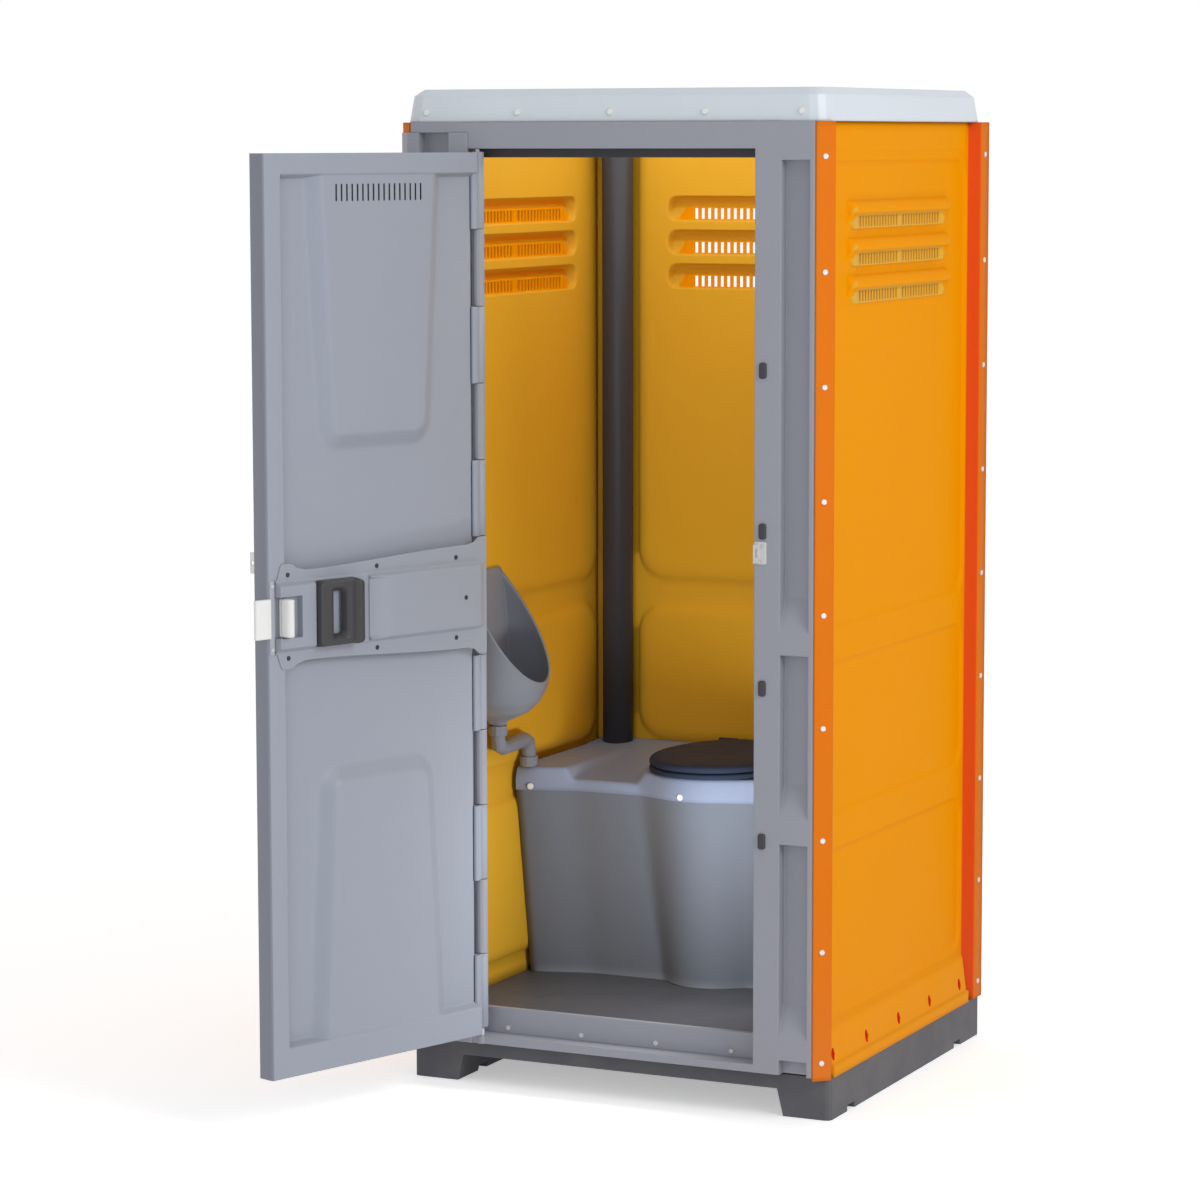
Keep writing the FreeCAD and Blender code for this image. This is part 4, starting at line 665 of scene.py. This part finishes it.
def cover_half(s):
    for (s0, h0), (s1, h1) in zip(cover_outline, cover_outline[1:]):
        if s <= s1:
            return h0 + (h1 - h0) * smooth_step((s - s0) / (s1 - s0))
    return cover_outline[-1][1]


def cover_relief(s, z):
    off = abs(z - latch_z)
    for (start, stop, half), floor_level in ((finger_window, 2.0), (grip_opening, 6.0)):
        if start < s < stop and off < half:
            return floor_level
    h = cover_flange + band_rise * smooth_step((78 - off) / 12)
    h = cover_flange + (h - cover_flange) * smooth_step((s - 28) / 24)
    scoop = smooth_step((s - 318) / 60) * smooth_step((70 - off) / 7) if s < 383 else 0
    return h - scoop_depth * scoop


cover_s = grid_lines([19, 20, 382, 382.8, 545.7, 546.3, 585.8, 586.4, 645.6, 646.2, 648, 650],
                     [(19, 26, 1.5), (36, 90, 5), (555, 650, 5), (316, 382, 6), (19, 650, 24)])
cover_off = grid_lines([0, 44.7, 45.3, 74.7, 75.3], [(62, 80, 1.6), (0, 80, 12)])
form = bmesh.new()
rows = []
wing_shares = (0.2, 0.5, 0.8, 0.97, 0.995, 1.0)
steps = [(-1, share) for share in reversed(wing_shares)]
steps += [(0, offset) for offset in [-o for o in reversed(cover_off)] + cover_off[1:]]
steps += [(1, share) for share in wing_shares]
for s in cover_s:
    row = []
    for wing, k in steps:
        z = wing * (80 + (max(cover_half(s), 81) - 80) * k) if wing else k
        at_rim = wing and k == 1.0 or s > 649.9 and not wing and abs(z) < 74
        h = cover_lap if at_rim else cover_relief(s, latch_z + z)
        row.append(form.verts.new(metres(*on_leaf(s, h), latch_z + z)))
    rows.append(row)
bolt_walls = (cover_s.index(645.6), len(cover_s) - 2)
for j, (low_row, high_row) in enumerate(zip(rows, rows[1:])):
    for i in range(len(steps) - 1):
        on_band = steps[i][0] == 0 and steps[i + 1][0] == 0
        if on_band and j in bolt_walls and abs(steps[i][1] + steps[i + 1][1]) < 90:
            continue
        form.faces.new((low_row[i], low_row[i + 1], high_row[i + 1], high_row[i])).smooth = True
form.normal_update()
if sum(f.normal.x for f in form.faces) < 0:
    bmesh.ops.reverse_faces(form, faces=form.faces)
cover_grey = moulded_material("cover_grey", (152, 158, 170), (176, 180, 190),
                              edge=0.3, cloud=0.04, roughness=0.38, soften=0.0015)
cover = finish_form("latch_housing", form, cover_grey)
crease = cover.modifiers.new("crease", "EDGE_SPLIT")
crease.split_angle = math.radians(60)
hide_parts("latch_cover")
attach(cover, "door")
screw_dark = moulded_material("screw_dark", (52, 54, 60), (80, 80, 84),
                              edge=0.4, cloud=0.1, roughness=0.4)
form = bmesh.new()
screw_places = [(s, latch_z + side * 91, cover_flange) for s in (114, 355, 615) for side in (-1, 1)]
screw_profile = ((5.2, 0), (5.2, 0.8), (4.2, 1.7), (2.2, 2.1), (1.4, 1.0))
screw_places.append((97, latch_z, cover_flange + band_rise))
for s, z, o in screw_places:
    rings = [[form.verts.new(metres(*on_leaf(s + radius * math.cos(a), o + lift), z + radius * math.sin(a)))
              for a in ring_turns(20)] for radius, lift in screw_profile]
    skin_rows(form, rings, True)
    form.faces.new(rings[0])
    form.faces.new(rings[-1])
bmesh.ops.recalc_face_normals(form, faces=form.faces)
screws = finish_form("housing_screws", form, screw_dark)
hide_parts("latch_screws")
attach(screws, "door")


# Latch grip
# A black moulded frame with a bevelled finger window and a raised rib at its inner end. It rides in
# the housing's opening and is screwed to the bolt behind it.
grip_box = (420, 545, 1081, 1227, 14)


def grip_relief(s, z):
    off = depth_inside(s, z, *grip_box)
    h = 5 + 27 * quarter_round(off / 4.5)
    if s < 441:
        h += 10 * quarter_round(min((s - 419) / 8, (441.5 - s) / 1.0)) * quarter_round(off / 9)
    window = depth_inside(s, z, 461, 509, 1098, 1210, 5)
    return h - 19 * min(max(window / 9, 0.0), 1.0)


grip_s = grid_lines([440.4, 441.6, 461, 470, 500, 509], [(420, 427, 0.9), (538, 545, 0.9), (420, 545, 5)])
grip_z = grid_lines([1098, 1107, 1201, 1210],
                    [(1081, 1088, 0.9), (1088, 1096, 2), (1212, 1220, 2), (1220, 1227, 0.9), (1081, 1227, 8)])


def grip_gone(u, z):
    return depth_inside(u, z, *grip_box) < 0.3 or (470 < u < 500 and 1107 < z < 1201)


grip_black = moulded_material("grip_black", (66, 66, 68), (104, 104, 106),
                              edge=0.4, cloud=0.08, roughness=0.36, soften=0.0015)
grip = pressing("latch_grip", [(*on_leaf(s, 0), *facing_in, s) for s in grip_s], grip_z, grip_relief,
                [grip_black], grip_gone)
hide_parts("latch_slide")
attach(grip, "latch")


# Bolt
# The parts that show of a white nylon bar that slides behind the housing: the square nose, which reaches
# past the leaf's edge, and the half-round finger in the window, by which the bolt can be moved.
bolt_white = moulded_material("bolt_white", (234, 234, 233), (245, 245, 245),
                              edge=0.3, cloud=0.03, roughness=0.35)


def bar(name, outline, foot, head, rounding, material):
    """Upright bar from an (s, o) outline on the leaf, with rounded edges."""
    form = bmesh.new()
    ends = [[form.verts.new(metres(*on_leaf(s, o), z)) for s, o in outline] for z in (foot, head)]
    skin_rows(form, ends, True)
    for end in ends:
        form.faces.new(end).smooth = True
    bmesh.ops.recalc_face_normals(form, faces=form.faces)
    piece = finish_form(name, form, material)
    round_off = piece.modifiers.new("rounding", "BEVEL")
    round_off.width = rounding / 1000
    round_off.segments = 3
    round_off.limit_method = "ANGLE"
    round_off.angle_limit = math.radians(40)
    round_off.harden_normals = True
    return piece


nose_outline = ((670, 3), (713, 3), (713, 10), (708, 13), (676, 13), (670, 12))
nose = bar("bolt_nose", nose_outline, latch_z - 43, latch_z + 43, 1.5, bolt_white)
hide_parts("latch_bolt")
finger_outline = ((624, 4), (624, 32), (626, 37), (630, 40), (634, 41), (638, 39), (641, 35), (642, 29),
                  (642, 4))
finger = bar("bolt_finger", finger_outline, latch_z - 41, latch_z + 41, 2.0, bolt_white)
for piece in (nose, finger):
    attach(piece, "latch")
plate_zinc = moulded_material("plate_zinc", (172, 175, 184), (205, 207, 212),
                              edge=0.3, cloud=0.08, roughness=0.4)
dress(plate_zinc, "edge_faceplate")
screw_zinc = moulded_material("screw_zinc", (205, 206, 208), (230, 230, 230),
                              edge=0.4, cloud=0.1, roughness=0.3)
dress(screw_zinc, "faceplate_screws", "sill_screws", "staple_screws", "padlock_staple", "hinge_rod")
dress(bolt_white, "hasp")


# Tank
# A grey blow-moulded waste tank across the back, with a bowed front and a deck that slopes up behind
# it; the deck has a raised platform for the seat and is held down by white-capped screws.
tank_half, tank_back, tank_foot, tank_rim = 471, 447, 156, 617
lobe_x, lobe_y, lobe_blend = -22, 147, 34
tank_grey = moulded_material("tank_grey", (113, 120, 132), (146, 152, 164),
                             edge=0.35, cloud=0.1, roughness=0.42, dust=0.12, soften=0.006)


def tank_front(x, level):
    """Depth of the tank's front at a height from 0 at the floor to 1 at the rim."""
    plain = 85 - 75 * level - 42 * smooth_step((abs(x) - 305) / 175)
    radius = 116 + 61 * level
    off = abs(x - lobe_x)
    lobe = lobe_y - math.sqrt(radius ** 2 - off ** 2) if off < radius else lobe_y + 3 * (off - radius)
    blend = max(lobe_blend - abs(plain - lobe), 0.0) / lobe_blend
    return min(plain, lobe) - blend * blend * lobe_blend / 4


tank_x = grid_lines([-tank_half, tank_half], [(-235, 190, 9), (-tank_half, tank_half, 20)])
tank_levels = [(156, 6), (157.5, 2), (160, 0)] + [(160 + 19.8 * i, 0) for i in range(1, 23)]
tank_levels += [(611, 0), (618, 0), (636, 0)]
form = bmesh.new()
rows = []
for z, grow in tank_levels:
    level = min((z - tank_foot) / (tank_rim - tank_foot), 1.0)
    row = [form.verts.new(metres(x, tank_front(x, level) - grow, z)) for x in tank_x]
    back_z = z if z < 620 else 675
    row += [form.verts.new(metres(x, tank_back, back_z)) for x in (tank_half, -tank_half)]
    rows.append(row)
for low_row, high_row in zip(rows, rows[1:]):
    for i in range(len(low_row)):
        k = (i + 1) % len(low_row)
        face = form.faces.new((low_row[i], low_row[k], high_row[k], high_row[i]))
        face.smooth = i < len(tank_x) - 1
form.faces.new(rows[0])
bmesh.ops.recalc_face_normals(form, faces=form.faces)
tank = finish_form("tank_shell", form, tank_grey)
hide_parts("tank_body")
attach(tank, "cabin")


seat_x, hole_y, seat_hole_half = -8, 202, (80, 140)
deck_back, platform = 460, 674


def deck_level(x, y):
    plain = 646 + 36 * (y - 10) / 451
    round_seat = 1 - math.hypot((x - seat_x) / 192, (y - 172) / 262)
    shelf = min((-352 - x) / 60, (y + 26) / 60) + 0.2
    lift = max(smooth_step(round_seat * 9 + 0.5), smooth_step(shelf * 3 + 0.2))
    return plain + max(platform - plain, 0.0) * lift


def in_seat_hole(low, high):
    middle = (low + high) * 500
    return math.hypot((middle.x - seat_x) / seat_hole_half[0], (middle.y - hole_y) / seat_hole_half[1]) < 1


deck_grey = moulded_material("deck_grey", (140, 152, 178), (146, 147, 154),
                             edge=0.35, cloud=0.08, roughness=0.42, dust=0.1, soften=0.008)
deck_x = grid_lines([-tank_half, tank_half], [(-250, 240, 7), (-420, -330, 6), (-tank_half, tank_half, 16)])
lip_levels = {-3: 617.0, -2: 618.5, -1: 630.0}
form = bmesh.new()
rows = []
for share in (-3, -2, -1, 0, 0.5, 1.5, 3, 5, 8) + tuple(8 + 92 * i / 60 for i in range(1, 61)):
    row = []
    for x in deck_x:
        near = tank_front(x, 1.0) - 3.5
        y = near + max(share, 0) / 100 * (deck_back - near)
        edge = (y - near) / 16
        z = lip_levels.get(share, deck_level(x, y) - 8 * (1 - quarter_round(edge * 2)))
        row.append(form.verts.new(metres(x, y + (4 if share == -3 else 0), z)))
    rows.append(row)
skin_rows(form, rows, gone=in_seat_hole)
form.normal_update()
if sum(f.normal.z for f in form.faces) < 0:
    bmesh.ops.reverse_faces(form, faces=form.faces)
deck = finish_form("tank_top", form, deck_grey)
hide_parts("tank_deck")
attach(deck, "cabin")
dress(bolt_white, "tank_screws")


# Seat and lid
# A dark satin seat ring and a domed lid that shuts over it, joined by a two-pin hinge at the back. The
# ring is open over the hole in the deck.
seat_black = moulded_material("seat_black", (46, 56, 76), (92, 90, 90),
                              edge=0.4, cloud=0.08, roughness=0.5, shine=0.08)
dress(seat_black, "seat_hinge")
seat_y, seat_back = 179, 392


def oval_piece(name, levels, closed):
    """Oval rings of (half width, half length, middle y, z) in mm, filled at both ends if closed."""
    form = bmesh.new()
    rings = []
    for half_x, half_y, middle, z in levels:
        ring = []
        for a in ring_turns(72):
            x = math.copysign(abs(math.cos(a)) ** 0.92, math.cos(a)) * half_x + seat_x
            y = min(math.sin(a) * half_y + middle, seat_back)
            ring.append(form.verts.new(metres(x, y, z)))
        rings.append(ring)
    if not closed:
        rings.append(rings[0])
    skin_rows(form, rings, True)
    if closed:
        form.faces.new(rings[0])
        form.faces.new(rings[-1]).smooth = True
    bmesh.ops.recalc_face_normals(form, faces=form.faces)
    piece = finish_form(name, form, seat_black)
    return piece


ring_piece = oval_piece("seat_ring", (
    (171, 232, seat_y, 676.5), (173, 234, seat_y, 679), (173, 234, seat_y, 685), (170, 231, seat_y, 688.5),
    (160, 221, seat_y, 690), (92, 152, hole_y - 1, 690), (84, 144, hole_y, 688), (80, 140, hole_y, 683),
    (81, 141, hole_y, 677)), False)
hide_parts("seat")
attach(ring_piece, "cabin")
lid_piece = oval_piece("lid_dome", (
    (150, 210, seat_y, 691.2), (169, 230, seat_y, 691.5), (173, 234, seat_y, 695), (173, 234, seat_y, 701),
    (169.5, 230.5, seat_y, 705.5), (160, 221, seat_y, 708), (140, 200, seat_y, 709.6),
    (90, 140, seat_y, 711.2), (30, 50, seat_y, 712)), True)
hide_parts("seat_lid")
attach(lid_piece, "lid")


# Urinal
# A grey rotationally moulded bowl with a high back that is screwed to the left wall, and a push-fit
# drain with two elbows and their collars that leads down into the tank.
urinal_profile = ((19, 800), (24, 812), (46, 820), (76, 835), (101, 860), (119, 896), (127, 938), (129, 975),
                  (128, 1015), (124, 1050), (112, 1105), (92, 1170))


def urinal_radius(z):
    for (r0, z0), (r1, z1) in zip(urinal_profile, urinal_profile[1:]):
        if z <= z1:
            return r0 + (r1 - r0) * (z - z0) / (z1 - z0)
    return urinal_profile[-1][0]


bowl_x, bowl_y, bowl_foot, bowl_head = -433, -204, 800, 1170.0
lip_x, lip_z, lip_run = -306, 902, 165
wall_face = -471.5


def rim_height(turn):
    """Height where the slanting rim cuts the turned body, found by halving the step towards it."""
    rim = bowl_head
    for step in range(40):
        x = bowl_x + urinal_radius(rim) * math.cos(turn)
        share = max(0.0, min(1.0, (lip_x - x) / lip_run))
        rim = 0.5 * rim + 0.5 * min(bowl_head, lip_z + (bowl_head - lip_z) * share ** 1.05)
    return rim


form = bmesh.new()
rows = []
for i in range(73):
    turn = 2 * math.pi * i / 72
    rim = rim_height(turn)
    row = []
    for k in range(25):
        z = bowl_foot + (rim - bowl_foot) * k / 24
        r = urinal_radius(z)
        x = max(bowl_x + r * math.cos(turn), wall_face)
        row.append(form.verts.new(metres(x, bowl_y + r * math.sin(turn), z)))
    rows.append(row)
for near_row, next_row in zip(rows, rows[1:]):
    for k in range(24):
        form.faces.new((near_row[k], next_row[k], next_row[k + 1], near_row[k + 1])).smooth = True
bmesh.ops.remove_doubles(form, verts=form.verts, dist=0.00005)
bmesh.ops.recalc_face_normals(form, faces=form.faces)
urinal_grey = moulded_material("urinal_grey", (130, 135, 146), (150, 152, 158),
                               edge=0.35, cloud=0.08, roughness=0.4, soften=0.003)
bowl = finish_form("urinal_bowl", form, urinal_grey)
wall = bowl.modifiers.new("wall", "SOLIDIFY")
wall.thickness = 0.005
wall.offset = -1.0
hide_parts("urinal")
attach(bowl, "cabin")
dress(urinal_grey, "drain_pipe", "drain_collars")


# Vent pipe
# A black plastic pipe, 76 mm across, from the tank up to the roof. It is cut square and left plain, with
# only a fine break on its ends.
pipe_black = moulded_material("pipe_black", (62, 64, 72), (96, 94, 94),
                              edge=0.3, cloud=0.08, roughness=0.42)
pipe_profile = ((36, platform), (38, platform + 0.5), (38, 2267), (36.5, 2268))
pipe = lathe("vent_pipe_tube", (-412, 423), pipe_profile, pipe_black, 56)
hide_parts("vent_pipe")
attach(pipe, "cabin")


# Roof
# A milky white tray with broadly rounded edges; it laps over the wall heads and is held by capped
# screws round its rim.
roof_white = moulded_material("roof_white", (214, 222, 230), (240, 244, 246),
                              edge=0.3, cloud=0.04, roughness=0.35, soften=0.008)
dress(roof_white, "roof_tray")
dress(bolt_white, "roof_rosettes")


# Rivets
# Blind rivets with broad white heads run down the corner flanges of the walls, at about 250 mm, and hold
# them to the frame and to each other.
dress(bolt_white, "wall_rivets")


# Studio
# A pale floor that shows white but keeps the shadow, soft light from all round, a broad lamp from the
# right and a weaker one before the doorway. Inside, a glow under the roof and a small lamp low beside
# the doorway stand in for the daylight that the roof and the floor pass on.
def seen_rays(tree):
    """One for rays that show a surface, zero for those that only bring light to another."""
    path = tree.nodes.new("ShaderNodeLightPath")
    through = math_node(tree, "MAXIMUM", path.outputs["Is Glossy Ray"], path.outputs["Is Transmission Ray"])
    return math_node(tree, "MAXIMUM", path.outputs["Is Camera Ray"], through)


floor_half, floor_tone, floor_glow = 30, 0.97, 0.41
sky_light, sky_seen = 0.58, 0.42
floor_mesh = bpy.data.meshes.new("studio_floor")
corners = [(x * floor_half, y * floor_half, 0) for x, y in ((-1, -1), (1, -1), (1, 1), (-1, 1))]
floor_mesh.from_pydata(corners, [], [(0, 1, 2, 3)])
floor = bpy.data.objects.new("studio_floor", floor_mesh)
bpy.context.scene.collection.objects.link(floor)
floor_paint = bpy.data.materials.new("studio_floor")
floor_paint.use_nodes = True
tree = floor_paint.node_tree
shader = tree.nodes["Principled BSDF"]
shader.inputs["Base Color"].default_value = (floor_tone, floor_tone, floor_tone, 1.0)
shader.inputs["Roughness"].default_value = 0.7
shader.inputs["Emission Color"].default_value = (1.0, 1.0, 1.0, 1.0)
link(tree, math_node(tree, "MULTIPLY", seen_rays(tree), floor_glow), shader.inputs["Emission Strength"])
floor_mesh.materials.append(floor_paint)

world = bpy.data.worlds.new("studio")
bpy.context.scene.world = world
world.use_nodes = True
tree = world.node_tree
background = tree.nodes["Background"]
background.inputs["Color"].default_value = (1.0, 1.0, 1.0, 1.0)
sky_glow = math_node(tree, "MULTIPLY", seen_rays(tree), sky_seen)
link(tree, math_node(tree, "ADD", sky_light, sky_glow), background.inputs["Strength"])


def area_lamp(name, where, at, size, power):
    lamp = bpy.data.lights.new(name, "AREA")
    lamp.size = size
    lamp.energy = power
    holder = bpy.data.objects.new(name, lamp)
    bpy.context.scene.collection.objects.link(holder)
    holder.location = where
    holder.rotation_mode = "QUATERNION"
    holder.rotation_quaternion = (Vector(at) - Vector(where)).to_track_quat("-Z", "Y")
    return holder


area_lamp("key_lamp", (6.2, -2.6, 4.2), (0.0, -0.3, 1.1), 2.6, 165)
area_lamp("front_fill", (1.2, -6.5, 2.2), (0.1, 0.2, 0.9), 2.2, 38)
inner = area_lamp("roof_glow", (0.0, 0.0, 2.2), (0.0, 0.0, 0.0), 0.9, 4)
inner.visible_camera = False
bounce = area_lamp("floor_bounce", (0.3, -0.36, 0.55), (-0.48, -0.1, 0.5), 0.16, 3.1)
bounce.visible_camera = False
bounce.visible_glossy = False


# Camera
# A long lens about nine metres off, turned 25 degrees round from the doorway, a little below the roof's
# height and tilted down, as the photograph shows the cabin.
photo_width, focal_pixels, sensor = 1200.0, 3968.5, 36.0
yaw, pitch, roll = math.radians(25.38), math.radians(6.63), math.radians(-0.105)
ahead = Vector((-math.sin(yaw) * math.cos(pitch), math.cos(yaw) * math.cos(pitch), -math.sin(pitch)))
side = Vector((math.cos(yaw), math.sin(yaw), 0.0))
above = side.cross(ahead)
across = math.cos(roll) * side + math.sin(roll) * above
upward = -math.sin(roll) * side + math.cos(roll) * above
camera_data = bpy.data.cameras.new("camera")
camera_data.sensor_width = sensor
camera_data.lens = focal_pixels * sensor / photo_width
camera_data.clip_end = 100.0
camera = bpy.data.objects.new("camera", camera_data)
bpy.context.scene.collection.objects.link(camera)
camera.rotation_mode = "QUATERNION"
camera.rotation_quaternion = Matrix((across, upward, -ahead)).transposed().to_quaternion()
camera.location = (3.7795, -8.5173, 2.1816)
bpy.context.scene.camera = camera
bpy.context.scene.view_settings.view_transform = "Standard"
